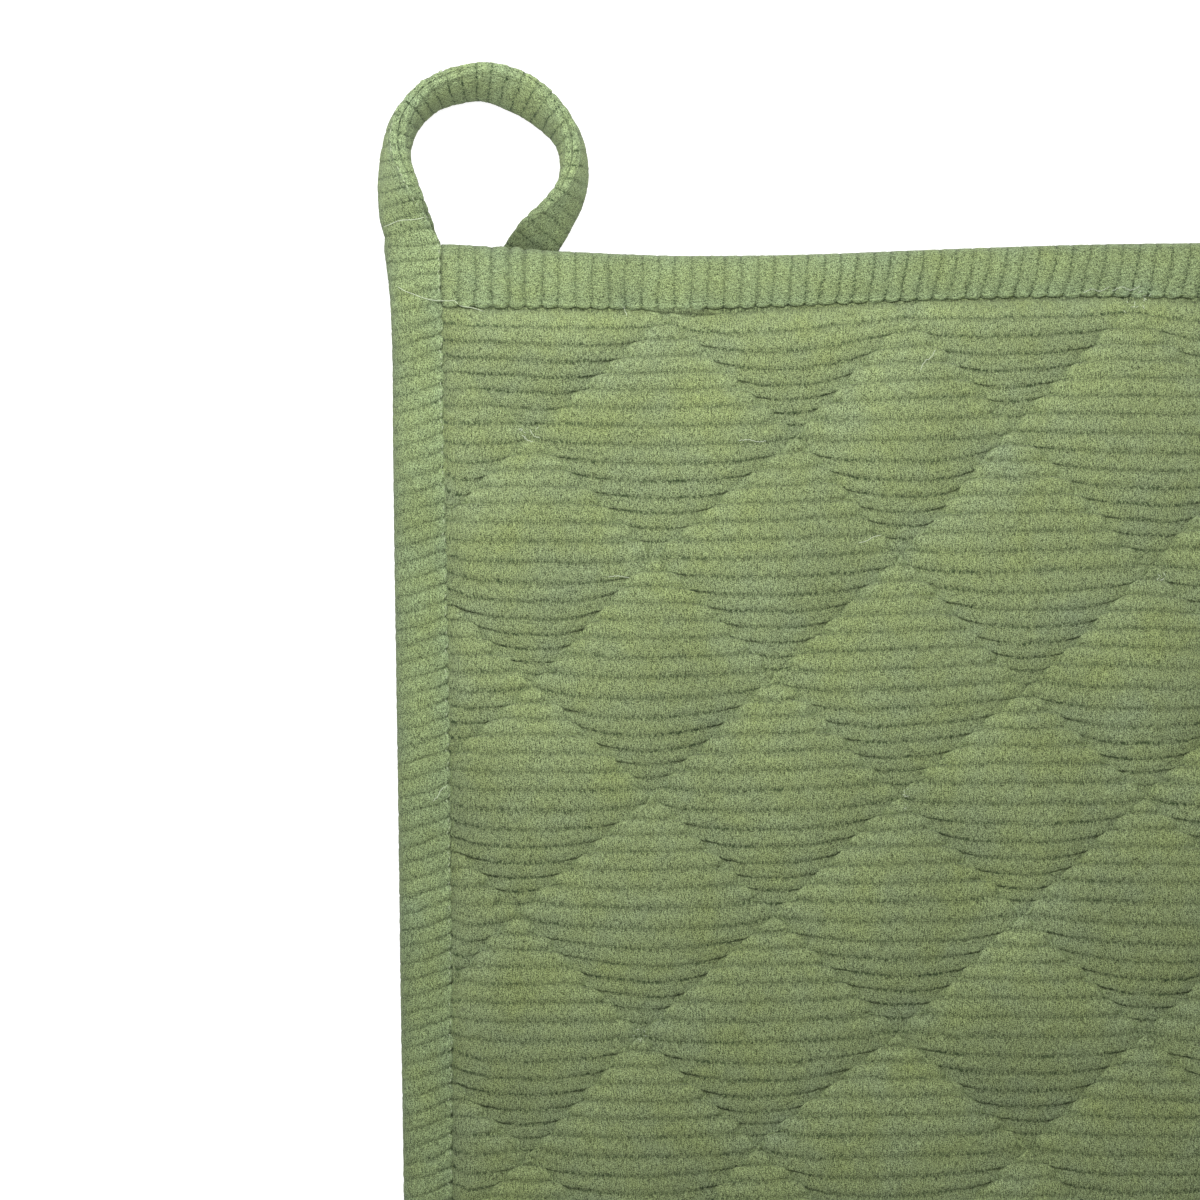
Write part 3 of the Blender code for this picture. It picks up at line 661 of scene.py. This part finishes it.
def build_pad_back(material):
    place, x, y = pad_layout(BACK_WALE_STEPS, BACK_COLUMN_OFFSETS)
    y = y - 0.4 * sag(x, y)
    flat = VALLEY_BACK * (1 - np.minimum(1.0, pillow(x, y) / BACK_FLAT_SHARE))
    share = edge_rise(seam_room(x, y))
    relief = np.minimum(wale_relief(place, x, y), 1.0)
    full = flat + BACK_RELIEF * (1 - relief)
    z = PAD_EDGE_LOW + (full - PAD_EDGE_LOW) * share + lift(x, y)
    points = np.stack([x, y, z], axis=-1).reshape(-1, 3)
    cloth_place = np.stack([x / WALE, place], axis=-1).reshape(-1, 2)
    faces = grid_faces(x.shape[0], x.shape[1], False)[:, ::-1].tolist()
    piece = make_piece("pad_back", points, faces, cloth_place, pad_marks(x, y), material)
    close_pad(piece, PAD_MID - 0.00005)
    return piece, points.reshape(*x.shape, 3)


# ---------------------------------------------------------------- folded strips
def section_outline(opening):
    """Points round the strip's section at each station: across, up and pile."""
    rows = len(SECTION)
    turns = np.arange(-2, rows + 3)
    fine = np.linspace(0, rows, SECTION_STEPS, endpoint=False)

    def ring(name):
        values = column_of(SECTION, name)
        return cubic(turns, [values[i % rows] for i in turns], fine)

    opening = opening[:, None]
    across = ring("open_across") * opening + ring("shut_across") * (1 - opening)
    up = ring("open_up") * opening + ring("shut_up") * (1 - opening)
    return across, up, np.clip(ring("pile"), 0, 1)


def strip_mesh(name, line, material, seed):
    """A folded strip along a line of stations, each with a centre, directions, width, thickness and wale place."""
    across, up, pile = section_outline(line["opening"])
    across = across + (1 - pile) * (1 - line["slot"][:, None]) * (LIP_END - across)
    width = line["width"][:, None]
    thick = line["thick"][:, None]
    place = line["place"][:, None]
    crest = wale_crest(place) * (1 + 0 * across)
    a = across * width
    b = up * thick
    step_a = np.roll(a, -1, axis=1) - np.roll(a, 1, axis=1)
    step_b = np.roll(b, -1, axis=1) - np.roll(b, 1, axis=1)
    length = np.maximum(np.hypot(step_a, step_b), 1e-9)
    out_a, out_b = step_b / length, -step_a / length
    grain = np.random.default_rng(seed).normal(0, 1, a.shape)
    slack = line["slack"][:, None]
    fold_share = FOLD_RELIEF_SHARE * (1 - slack) + slack
    tautness = fold_share + (1 - fold_share) * fade(-across, -0.34, -0.06)
    tautness = tautness * (line["relief"][:, None] + 2.2 * slack)
    raised = BINDING_RELIEF * (crest - 0.6) * tautness + 0.00003 * grain
    lip = rounded(across - 0.80, 0.20, 1.5) * pile
    each_wale = unevenness(place * WALE, 0 * place, 1.3 * WALE, seed + 4)
    a = a + out_a * raised * pile
    a = a + LIP_SCALLOP * (crest - 0.5) * (1 + 0.7 * each_wale) * lip * line["relief"][:, None]
    b = b + out_b * raised * pile - LIP_PRESS * (1 + each_wale) * lip * (up > 0.5) * line["opening"][:, None]
    run = np.concatenate([[0.0], np.cumsum(np.hypot(np.diff(a[0]), np.diff(b[0])))])
    share = np.clip(across, 0, 1)
    lean = line["lean"][:, None] * share**1.4 * (0.35 + 0.65 * (up > 0.5))
    wobble = 0.00016 * unevenness(place * WALE, share * 0.010 + 0.3 * (up > 0.5), 0.006, seed + 1)
    ahead = lean + wobble * pile
    points = (
        line["centre"][:, None, :]
        + line["across"][:, None, :] * (a - width / 2)[..., None]
        + line["up"][:, None, :] * (b - thick / 2)[..., None]
        + line["ahead"][:, None, :] * ahead[..., None]
    )
    points[..., 2] += lift(points[..., 0], points[..., 1]) * line["lift_share"][:, None]
    points[..., 2] = np.maximum(points[..., 2], 0.0)
    rows, columns = a.shape
    faces = grid_faces(rows, columns, True).tolist()
    faces.append(list(range(columns - 1, -1, -1)))
    faces.append(list(range((rows - 1) * columns, rows * columns)))
    cloth_place = np.stack([np.broadcast_to(run / WALE, a.shape), np.broadcast_to(place, a.shape)], axis=-1)
    near_lip = np.clip((share - 0.70) / 0.25, 0, 1)
    near_fold = np.clip((0.30 - share) / 0.30, 0, 1)
    patches = unevenness(points[..., 0], points[..., 1], 0.012, seed + 2)
    shade = unevenness(points[..., 0], points[..., 1], 0.020, seed + 3)
    # Painted shade on the loop's inner face, below the lip, where the loop leans out past upright
    painted_inner_face_shade = line["inner_face_shade_share"][:, None] * (up < 0.5) * (1 - near_lip)
    marks = {
        # Painted shade in the grooves: more at the seam lip, by the fold and on the loop's inner face, with random
        # patches
        "painted_groove_shade": np.clip(
            line["groove"][:, None] + 0.25 * near_lip + 0.10 * near_fold + 0.10 * patches + painted_inner_face_shade, 0.05, 1.3),
        # Greyer nap towards the lip and towards the fold, with random patches
        "nap_grey_and_painted_sheen": np.clip(0.35 + 0.35 * near_lip + 0.40 * near_fold + 0.20 * patches, 0, 1),
        # Paler towards the lip; painted shade towards the fold, on the loop's inner face, under the tucked loop and
        # inside the slot; random brightness
        "tone_and_painted_shading": (1.0 + line["lip_tone"][:, None] * near_lip - 0.20 * near_fold + 0.05 * shade - 0.10 * painted_inner_face_shade)
        * (1 - line["shadow"][:, None]) * (1 - 0.3 * (1 - pile) * line["opening"][:, None]),
        # Painted shade inside the slot of the fold
        "painted_crease_shade": (1 - pile) * line["opening"][:, None],
        "shaded_wale_side": line["shaded_wale_side"][:, None] + 0 * pile,
    }
    piece = make_piece(name, points.reshape(-1, 3), faces, cloth_place.reshape(-1, 2), marks, material)
    face_outwards(piece)
    return piece, points


def straight_places(start, end):
    """Wale places and distances along a side."""
    wales = round((end - start) / WALE)
    place = np.array([wale + step for wale in range(wales) for step in WALE_STEPS] + [wales])
    return place, start + (end - start) * place / wales


def side_line(side, start, end):
    """The stations of a strip along one side of the pad."""
    place, along = straight_places(start, end)
    outward = np.array(SIDES[side][0])
    ahead = np.array((outward[1], -outward[0], 0.0))
    width = side_value(side, "width", along)
    thick = np.full(len(along), BINDING_THICK)
    if side == "left":
        thick = thick + OVERLAP_RISE * fade(HALF - along, BINDING_SLOT, OVERLAP_FADE)
    middle = HALF + side_value(side, "out", along) - width / 2
    ones = np.ones(len(along))
    return {
        "place": place,
        "centre": middle[:, None] * outward + along[:, None] * ahead + (thick / 2)[:, None] * np.array(UP),
        "ahead": ones[:, None] * ahead,
        "across": ones[:, None] * -outward,
        "up": ones[:, None] * np.array(UP),
        "width": width,
        "thick": thick,
        "opening": ones,
        "slot": ones if side in ("top", "bottom") else 1 - fade(HALF - np.abs(along), SHUT_END, SHUT_END + 0.0006),
        "relief": ones,
        "slack": np.exp(-(((along - TUCKED_END) / TUCKED_REACH) ** 2)) if side == "top" else 0 * ones,
        "groove": np.interp(along, *TOP_GROOVES) if side == "top" else ones * SIDE_GROOVE,
        "shaded_wale_side": ones * (TOP_SHADED_WALE_SIDE if side == "top" else 0.5),
        "inner_face_shade_share": 0 * ones,
        "lip_tone": ones * (0.10 if side in ("left", "right") else 0.08),
        "shadow": 0 * ones,
        "lean": side_value(side, "lean", along),
        "lift_share": ones,
    }


def loop_line(first_place):
    """The stations of the hanging loop, which goes on from the left strip's end."""
    numbers = np.arange(len(LOOP_PATH))

    def value(name, at):
        return cubic(numbers, column_of(LOOP_PATH, name), at)

    fine = np.linspace(0, len(LOOP_PATH) - 1, 40 * len(LOOP_PATH))
    run = np.concatenate([[0.0], np.cumsum(np.hypot(np.diff(value("x", fine)), np.diff(value("y", fine))))])
    wales = round(run[-1] / LOOP_WALE)
    place = np.array([wale + step for wale in range(wales) for step in WALE_STEPS] + [wales])[1:]
    travelled = run[-1] * place / wales
    at = np.interp(travelled, run, fine)
    before = np.maximum(at - 0.05, 0.0)
    after = np.minimum(at + 0.05, len(LOOP_PATH) - 1.0)
    ahead = np.stack([value("x", after) - value("x", before), value("y", after) - value("y", before), 0 * at], axis=-1)
    ahead /= np.linalg.norm(ahead, axis=1)[:, None]
    turning = fade(travelled, 0.0, LOOP_TURN_REACH)[:, None]
    ahead = ahead * (1 - turning) + np.array((0.0, 1.0, 0.0)) * turning
    ahead /= np.linalg.norm(ahead, axis=1)[:, None]
    inward = np.stack([ahead[:, 1], -ahead[:, 0], 0 * at], axis=-1)
    tilt = np.radians(value("tilt", at))[:, None]
    width = value("width", at)
    start_share = fade(travelled, 0.0, LOOP_LIFT_FADE / 2)
    thick = value("thick", at) + OVERLAP_RISE * start_share
    sin, cos = np.sin(tilt[:, 0]), np.cos(tilt[:, 0])
    rise = width / 2 * np.abs(sin) + thick / 2 * np.abs(cos)
    height = rise + LOOP_CLEARANCE * (1 - start_share)
    return {
        "place": place + first_place,
        "centre": np.stack([value("x", at), value("y", at), height], axis=-1),
        "ahead": ahead,
        "across": inward * np.cos(tilt) + np.array(UP) * np.sin(tilt),
        "up": np.array(UP) * np.cos(tilt) - inward * np.sin(tilt),
        "width": width,
        "thick": thick,
        "opening": fade(travelled, 0.0, 0.008),
        "slot": 1 + 0 * at,
        "relief": LOOP_RELIEF_SHARE + (1 - LOOP_RELIEF_SHARE) * fade(travelled, -0.002, 0.006),
        "slack": 0 * at,
        "groove": LOOP_GROOVE + 0 * at,
        "shaded_wale_side": 0.5 + 0 * at,
        "inner_face_shade_share": 0.7 * (1 - fade(value("tilt", at), 70, 95)),
        "lip_tone": 0.06 + 0 * at,
        "shadow": TUCK_SHADE * np.where(value("x", at) > TUCK_SIDE_X, fade(value("y", at) - HALF, 0.0, 0.0042), 0.0),
        "lean": LEFT_EDGE[-1].lean * start_share,
        "lift_share": fade(travelled, 0.0, LOOP_LIFT_FADE),
    }


def build_strips(material):
    pieces = {}
    left = side_line("left", -HALF, HALF)
    loop = loop_line(left["place"][-1])
    left["slot"] = np.maximum(left["slot"], left["centre"][:, 1] > 0)
    whole = {key: np.concatenate([left[key], loop[key]]) for key in left}
    pieces["left"] = strip_mesh("binding_with_loop", whole, material, 21)
    gap = STRIP_END_GAP
    ends = {
        "top": (-float(seam_distance("left", HALF)) + gap, float(seam_distance("right", -HALF)) - gap),
        "right": (-HALF, HALF),
        "bottom": (-float(seam_distance("right", HALF)) + gap, float(seam_distance("left", -HALF)) - gap),
    }
    for number, (side, (start, end)) in enumerate(ends.items()):
        pieces[side] = strip_mesh("folded_binding_" + side, side_line(side, start, end), material, 31 + 2 * number)
    return pieces


# ---------------------------------------------------------------- sewing thread
def add_thread(bm, path, radius, sides=5):
    """A thread with tapered ends along a path."""
    path = [Vector(point) for point in path]
    rings = []
    for i, point in enumerate(path):
        ahead = (path[min(i + 1, len(path) - 1)] - path[max(i - 1, 0)]).normalized()
        across = ahead.cross(UP).normalized()
        above = across.cross(ahead)
        size = radius * (0.45 if i in (0, len(path) - 1) else 1.0)
        ring = []
        for k in range(sides):
            angle = 2 * math.pi * k / sides
            ring.append(bm.verts.new(point + (across * math.cos(angle) + above * math.sin(angle)) * size))
        rings.append(ring)
    for one, other in zip(rings, rings[1:]):
        for k in range(sides):
            following = (k + 1) % sides
            bm.faces.new((one[k], other[k], other[following], one[following]))
    bm.faces.new(rings[0])
    bm.faces.new(rings[-1][::-1])


def thread_piece(name, paths, radius, material):
    """One piece of many short threads, given in pad coordinates."""
    bm = bmesh.new()
    for path in paths:
        add_thread(bm, [np.array(point) + np.array(PAD_MIDDLE) for point in path], radius)
    bmesh.ops.recalc_face_normals(bm, faces=bm.faces)
    mesh = bpy.data.meshes.new(name)
    bm.to_mesh(mesh)
    bm.free()
    mesh.materials.append(material)
    mesh.polygons.foreach_set("use_smooth", np.ones(len(mesh.polygons), bool))
    piece = bpy.data.objects.new(name, mesh)
    bpy.context.scene.collection.objects.link(piece)
    return piece


def stitches_along(route, pitch, length, height, seed, buried=0.0):
    """Short arched paths along a route, with gaps where the thread is below the cloth or buried in its pile."""
    rng = np.random.default_rng(seed)
    run = np.concatenate([[0.0], np.cumsum(np.linalg.norm(np.diff(route, axis=0), axis=1))])
    paths = []
    at = pitch / 2
    while at + length < run[-1]:
        long = length * rng.uniform(0.75, 1.15)
        places = at + np.linspace(0, 1, 5) * long
        arch = height * np.array([-1.0, 0.6, 1.0, 0.6, -1.0])
        path = [[np.interp(place, run, route[:, axis]) for axis in range(3)] for place in places]
        path = np.array(path)
        path[:, 2] += arch
        path[:, :2] += rng.normal(0, 0.00008, 2)
        path[:, 2] = np.maximum(path[:, 2], THREAD_RADIUS)
        paths.append(path)
        at += pitch * rng.uniform(0.9, 1.1)
        while rng.uniform() < buried:
            at += pitch
    return paths


def quilting_routes(points, offsets):
    """The pad's zigzag stitch lines, read from its grid of points between the bindings."""
    count = 2 * len(offsets) + 2
    for number in range(2 * VALLEY_COLUMNS + 1):
        yield points[2:-2, 2 + (number + 1) * count]


def build_sewing(face_points, back_points, strips, seam_thread, quilt_thread, hole_shade_thread):
    quilting = []
    for number, route in enumerate(quilting_routes(face_points, COLUMN_OFFSETS)):
        quilting += stitches_along(route, QUILT_STITCH, 0.7 * QUILT_STITCH, 0.00010, 100 + number)
    for number, route in enumerate(quilting_routes(back_points, BACK_COLUMN_OFFSETS)):
        quilting += stitches_along(route[:, :], QUILT_STITCH, 0.7 * QUILT_STITCH, -0.00008, 120 + number)
    shown = []
    for number, (side, (_, points)) in enumerate(strips.items()):
        for column in LIP_COLUMNS:
            on_face = column < SECTION_STEPS / 2
            height = 0.00008 if on_face else -0.00008
            if side == "left" and on_face:
                route = points[4:SEWN_EDGE_STATIONS.stop, column]
                shown += stitches_along(route, SEAM_STITCH / 2, 0.3 * SEAM_STITCH, height, 140, BURIED_SHARE)
            else:
                route = points[4:-4, column]
                quilting += stitches_along(route, SEAM_STITCH, 0.55 * SEAM_STITCH, height, 150 + number)
    sewn_edge = strips["left"][1][SEWN_EDGE_STATIONS, 0]
    # Dark dashes along the loop's sewn edge: painted shade of the stitch holes
    hole_shade_dashes = stitches_along(sewn_edge, SEAM_STITCH / 2, 0.2 * SEAM_STITCH, 0.00012, 160)
    return [
        thread_piece("quilting_stitches", quilting, THREAD_RADIUS, quilt_thread),
        thread_piece("seam_stitches", shown, THREAD_RADIUS, seam_thread),
        thread_piece("loop_stitch_hole_shade", hole_shade_dashes, 1.5 * THREAD_RADIUS, hole_shade_thread),
    ]


def from_photo(px, py):
    """Pad coordinates of a pixel of the photograph."""
    return (px - MIDDLE_PX) * PIXEL, (MIDDLE_PY - py) * PIXEL


def on_surface(pieces, x, y, above):
    """The point above the cloth at a place of the pad."""
    start = Vector((x, y, 0.05)) + PAD_MIDDLE
    highest = 0.0
    for piece in pieces:
        hit, place, _, _ = piece.ray_cast(start, -UP)
        if hit:
            highest = max(highest, place.z)
    return np.array((x, y, highest + above))


def settled(path):
    """A path that bridges sudden drops of the cloth below it."""
    path = np.array(path)
    cloth = path[:, 2].copy()
    for _ in range(4):
        eased = path[:, 2].copy()
        eased[1:-1] = (path[:-2, 2] + path[2:, 2]) / 2
        path[:, 2] = np.maximum(cloth, eased)
    return path


def build_loose_threads(pieces, material):
    """Thread ends and lint that lie on the cloth, where the photograph shows them."""
    paths = []
    for number, pixels in enumerate(LOOSE_THREADS):
        pixels = np.array(pixels, float)
        numbers = np.arange(len(pixels))
        fine = np.linspace(0, len(pixels) - 1, 6 * (len(pixels) - 1) + 1)
        wave = 0.6 * np.sin(1.7 * fine * (number + 2))
        places = [from_photo(px, py) for px, py in zip(
            cubic(numbers, pixels[:, 0], fine),
            cubic(numbers, pixels[:, 1], fine) + wave,
        )]
        paths.append(settled([on_surface(pieces, x, y, LINT_RADIUS) for x, y in places]))
    rng = np.random.default_rng(77)
    for px, py in LINT_SPOTS:
        for _ in range(LINT_FIBRES):
            turn = rng.uniform(0, math.pi)
            length = rng.uniform(2.0, 5.0)
            start = np.array((px, py)) + rng.normal(0, 3.5, 2)
            bend = rng.normal(0, 1.0, 2)
            steps = [start + (t - 0.5) * length * np.array((math.cos(turn), math.sin(turn))) + bend * t * (1 - t)
                     for t in (0.0, 0.35, 0.7, 1.0)]
            paths.append(settled([on_surface(pieces, *from_photo(*step), LINT_RADIUS) for step in steps]))
    return thread_piece("loose_threads", paths, LINT_RADIUS, material)


# ---------------------------------------------------------------- materials
def add_node(tree, kind, **values):
    node = tree.nodes.new(kind)
    for name, value in values.items():
        if name in node.inputs:
            node.inputs[name].default_value = value
        else:
            setattr(node, name, value)
    return node


def math_node(tree, operation, one, other=None, clamp=False):
    """A Math node on two sockets or numbers."""
    node = tree.nodes.new("ShaderNodeMath")
    node.operation = operation
    node.use_clamp = clamp
    for socket, source in zip(node.inputs, (one, other)):
        if source is None:
            continue
        if isinstance(source, (int, float)):
            socket.default_value = source
        else:
            tree.links.new(source, socket)
    return node.outputs[0]


def mix_colour(tree, share, one, other, blend="MIX"):
    """A colour mix of two sockets or colours."""
    node = tree.nodes.new("ShaderNodeMix")
    node.data_type = "RGBA"
    node.blend_type = blend
    for socket, source in ((node.inputs[0], share), (node.inputs[6], one), (node.inputs[7], other)):
        if isinstance(source, (int, float)):
            socket.default_value = source
        elif isinstance(source, tuple):
            socket.default_value = (*source, 1.0)
        else:
            tree.links.new(source, socket)
    return node.outputs[2]


def noise(tree, vector, scale, detail, roughness=0.5):
    node = add_node(tree, "ShaderNodeTexNoise", Scale=scale, Detail=detail, Roughness=roughness)
    tree.links.new(vector, node.inputs["Vector"])
    return node.outputs["Fac"]


def stretch(tree, vector, scale):
    node = add_node(tree, "ShaderNodeMapping", Scale=scale)
    tree.links.new(vector, node.inputs["Vector"])
    return node.outputs["Vector"]


def spread_out(tree, value, low, high):
    """A value from low to high stretched to 0 to 1."""
    node = tree.nodes.new("ShaderNodeMapRange")
    node.inputs["From Min"].default_value = low
    node.inputs["From Max"].default_value = high
    tree.links.new(value, node.inputs["Value"])
    return node.outputs["Result"]


def corduroy(name, green, grey, dark, groove_from):
    """Napped cotton corduroy: fuzzy pile in wales, with broken grooves between them in painted shade."""
    material = bpy.data.materials.new(name)
    material.use_nodes = True
    tree = material.node_tree
    shader = tree.nodes["Principled BSDF"]
    place = tree.nodes.new("ShaderNodeTexCoord").outputs["Object"]
    uv = add_node(tree, "ShaderNodeUVMap", uv_map="cloth").outputs["UV"]
    painted_groove_shade = add_node(tree, "ShaderNodeAttribute", attribute_name="painted_groove_shade").outputs["Fac"]
    nap_grey_and_painted_sheen = add_node(tree, "ShaderNodeAttribute", attribute_name="nap_grey_and_painted_sheen").outputs["Fac"]
    painted_crease_shade = add_node(tree, "ShaderNodeAttribute", attribute_name="painted_crease_shade").outputs["Fac"]
    tone_and_painted_shading = add_node(tree, "ShaderNodeAttribute", attribute_name="tone_and_painted_shading").outputs["Fac"]
    shaded_wale_side = add_node(tree, "ShaderNodeAttribute", attribute_name="shaded_wale_side").outputs["Fac"]

    fuzz = spread_out(tree, noise(tree, place, FUZZ_SCALE, 2.0, 0.8), 0.45, 0.55)
    fibres = spread_out(tree, noise(tree, stretch(tree, uv, (11.0, 3.0, 1.0)), 1.0, 1.0, 0.6), 0.38, 0.62)
    tufts = spread_out(tree, noise(tree, stretch(tree, uv, (6.5, 3.2, 1.0)), 1.0, 1.0), 0.46, 0.60)
    breaks = spread_out(tree, noise(tree, stretch(tree, uv, (0.45, 0.9, 1.0)), 1.0, 2.0, 0.6), 0.35, 0.65)
    patches = spread_out(tree, noise(tree, place, 160.0, 3.0, 0.6), 0.25, 0.75)

    # Distance from the middle of a wale, 1 in a groove, with a ragged edge of tufts
    across = tree.nodes.new("ShaderNodeSeparateXYZ")
    tree.links.new(uv, across.inputs[0])
    ragged = noise(tree, stretch(tree, uv, (8.0, 1.2, 1.0)), 1.0, 2.0, 0.75)
    ragged = math_node(tree, "MULTIPLY", math_node(tree, "SUBTRACT", ragged, 0.5), 0.34)
    phase = math_node(tree, "FRACT", math_node(tree, "ADD", across.outputs["Y"], ragged))
    off_crest = math_node(tree, "MULTIPLY", math_node(tree, "ABSOLUTE", math_node(tree, "SUBTRACT", phase, 0.5)), 2.0)
    hollow = spread_out(tree, off_crest, groove_from, 0.98)
    # Painted shade in the grooves, broken up by tufts
    groove = math_node(tree, "MULTIPLY", hollow, painted_groove_shade)
    groove = math_node(tree, "MULTIPLY", groove, math_node(tree, "MULTIPLY", tufts, 2.20))
    groove = math_node(tree, "MULTIPLY", groove, math_node(tree, "ADD", math_node(tree, "MULTIPLY", breaks, 0.40), 0.84))
    # Painted shade in the stitched creases and in the strips' slots
    valley = math_node(tree, "MULTIPLY", painted_crease_shade, math_node(tree, "MULTIPLY", tufts, 0.30))
    shadow = math_node(tree, "MAXIMUM", groove, valley)

    greyness = math_node(tree, "MULTIPLY", math_node(tree, "ADD", nap_grey_and_painted_sheen, patches), 0.5)
    pile = mix_colour(tree, greyness, green, grey)
    # The third colour is painted shade, laid over the pile in grooves and creases
    base = mix_colour(tree, math_node(tree, "MINIMUM", shadow, 1.0), pile, dark)
    bright = math_node(tree, "ADD", math_node(tree, "MULTIPLY", fuzz, 1.16), 0.20)
    bright = math_node(tree, "ADD", bright, math_node(tree, "MULTIPLY", fibres, 0.42))
    # Painted shade across one side of each wale's rounding
    side = math_node(tree, "ABSOLUTE", math_node(tree, "SUBTRACT", math_node(tree, "GREATER_THAN", phase, 0.5), shaded_wale_side))
    painted_wale_side_shade = math_node(tree, "MULTIPLY", math_node(tree, "POWER", off_crest, 2.6), math_node(tree, "MULTIPLY", side, -0.44))
    bright = math_node(tree, "MULTIPLY", bright, math_node(tree, "ADD", painted_wale_side_shade, 1.06))
    # Brightness with its painted light and shade
    bright = math_node(tree, "MULTIPLY", bright, tone_and_painted_shading)
    scaled = tree.nodes.new("ShaderNodeVectorMath")
    scaled.operation = "SCALE"
    tree.links.new(base, scaled.inputs[0])
    tree.links.new(bright, scaled.inputs["Scale"])
    tree.links.new(scaled.outputs[0], shader.inputs["Base Color"])

    height = math_node(tree, "ADD", fuzz, math_node(tree, "MULTIPLY", fibres, 0.6))
    broken = math_node(tree, "MULTIPLY", math_node(tree, "MULTIPLY", hollow, tufts), 1.0)
    height = math_node(tree, "SUBTRACT", height, broken)
    bump = add_node(tree, "ShaderNodeBump", Strength=0.5, Distance=0.00025)
    tree.links.new(height, bump.inputs["Height"])
    tree.links.new(bump.outputs["Normal"], shader.inputs["Normal"])
    shader.inputs["Roughness"].default_value = 0.95
    shader.inputs["Specular IOR Level"].default_value = 0.10
    shader.inputs["Sheen Weight"].default_value = 0.15
    shader.inputs["Sheen Roughness"].default_value = 0.5
    shader.inputs["Sheen Tint"].default_value = (0.80, 0.92, 0.68, 1.0)
    return material


def plain(name, colour, roughness):
    material = bpy.data.materials.new(name)
    material.use_nodes = True
    shader = material.node_tree.nodes["Principled BSDF"]
    shader.inputs["Base Color"].default_value = (*colour, 1.0)
    shader.inputs["Roughness"].default_value = roughness
    return material


# ---------------------------------------------------------------- stage
def build_stage():
    bpy.ops.object.select_all(action="DESELECT")
    bpy.ops.mesh.primitive_plane_add(size=6.0, location=(0, 0, -0.0002))
    floor = bpy.context.active_object
    floor.name = "floor"
    paper = plain("white_paper", (0.35, 0.35, 0.35), 0.9)
    paper.node_tree.nodes["Principled BSDF"].inputs["Emission Color"].default_value = (1.0, 1.0, 1.0, 1.0)
    paper.node_tree.nodes["Principled BSDF"].inputs["Emission Strength"].default_value = 0.85
    floor.data.materials.append(paper)

    world = bpy.data.worlds.new("studio")
    world.use_nodes = True
    world.node_tree.nodes["Background"].inputs["Color"].default_value = (1.0, 1.0, 1.0, 1.0)
    world.node_tree.nodes["Background"].inputs["Strength"].default_value = 0.33
    bpy.context.scene.world = world
    bpy.context.scene.view_settings.view_transform = "Standard"

    area_light("key", (-0.10, 0.225, 0.335), 0.34, 2.70)


def area_light(name, place, size, power):
    bpy.ops.object.light_add(type="AREA", location=place)
    light = bpy.context.active_object
    light.name = name
    light.data.shape = "DISK"
    light.data.size = size
    light.data.energy = power


def build_camera():
    """Straight down on the part of the pad that the photograph shows."""
    width = FRAME_PX * PIXEL
    aim = PAD_MIDDLE + Vector(((FRAME_PX / 2 - MIDDLE_PX) * PIXEL, (MIDDLE_PY - FRAME_PX / 2) * PIXEL, 0.006))
    data = bpy.data.cameras.new("camera")
    data.lens = 100.0
    data.sensor_width = 36.0
    camera = bpy.data.objects.new("camera", data)
    camera.location = aim + UP * (width * data.lens / data.sensor_width)
    bpy.context.scene.collection.objects.link(camera)
    bpy.context.scene.camera = camera


# ---------------------------------------------------------------- assembly
def main():
    # Each corduroy's third colour is its painted shade for grooves and creases
    pad_cloth = corduroy("pad_corduroy", (0.192, 0.235, 0.085), (0.182, 0.230, 0.130), (0.058, 0.086, 0.036), 0.66)
    tape_cloth = corduroy("binding_corduroy", (0.197, 0.245, 0.096), (0.184, 0.244, 0.138), (0.052, 0.082, 0.035), 0.80)

    seam_thread = plain("pale_thread", (0.33, 0.39, 0.24), 0.7)
    lint_thread = plain("pale_lint", (0.52, 0.58, 0.43), 0.8)
    quilt_thread = plain("green_thread", (0.15, 0.20, 0.08), 0.7)
    # Colour of the painted shade in the loop's stitch holes
    hole_shade_thread = plain("painted_hole_shade", (0.035, 0.055, 0.022), 0.9)

    face, face_points = build_pad_face(pad_cloth)
    back, back_points = build_pad_back(pad_cloth)
    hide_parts("quilted_pad")
    for half in (face, back):
        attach(half, "root")

    strips = build_strips(tape_cloth)
    stood_for = {
        "left": "binding_left_loop",
        "top": "binding_top",
        "right": "binding_right",
        "bottom": "binding_bottom",
    }
    for side, (piece, _) in strips.items():
        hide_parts(stood_for[side])
        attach(piece, "root")

    sewing = build_sewing(face_points, back_points, strips, seam_thread, quilt_thread, hole_shade_thread)
    covers = [face] + [piece for piece, _ in strips.values()]
    bpy.context.view_layer.update()
    sewing.append(build_loose_threads(covers, lint_thread))
    for piece in sewing:
        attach(piece, "root")

    build_stage()
    build_camera()


main()
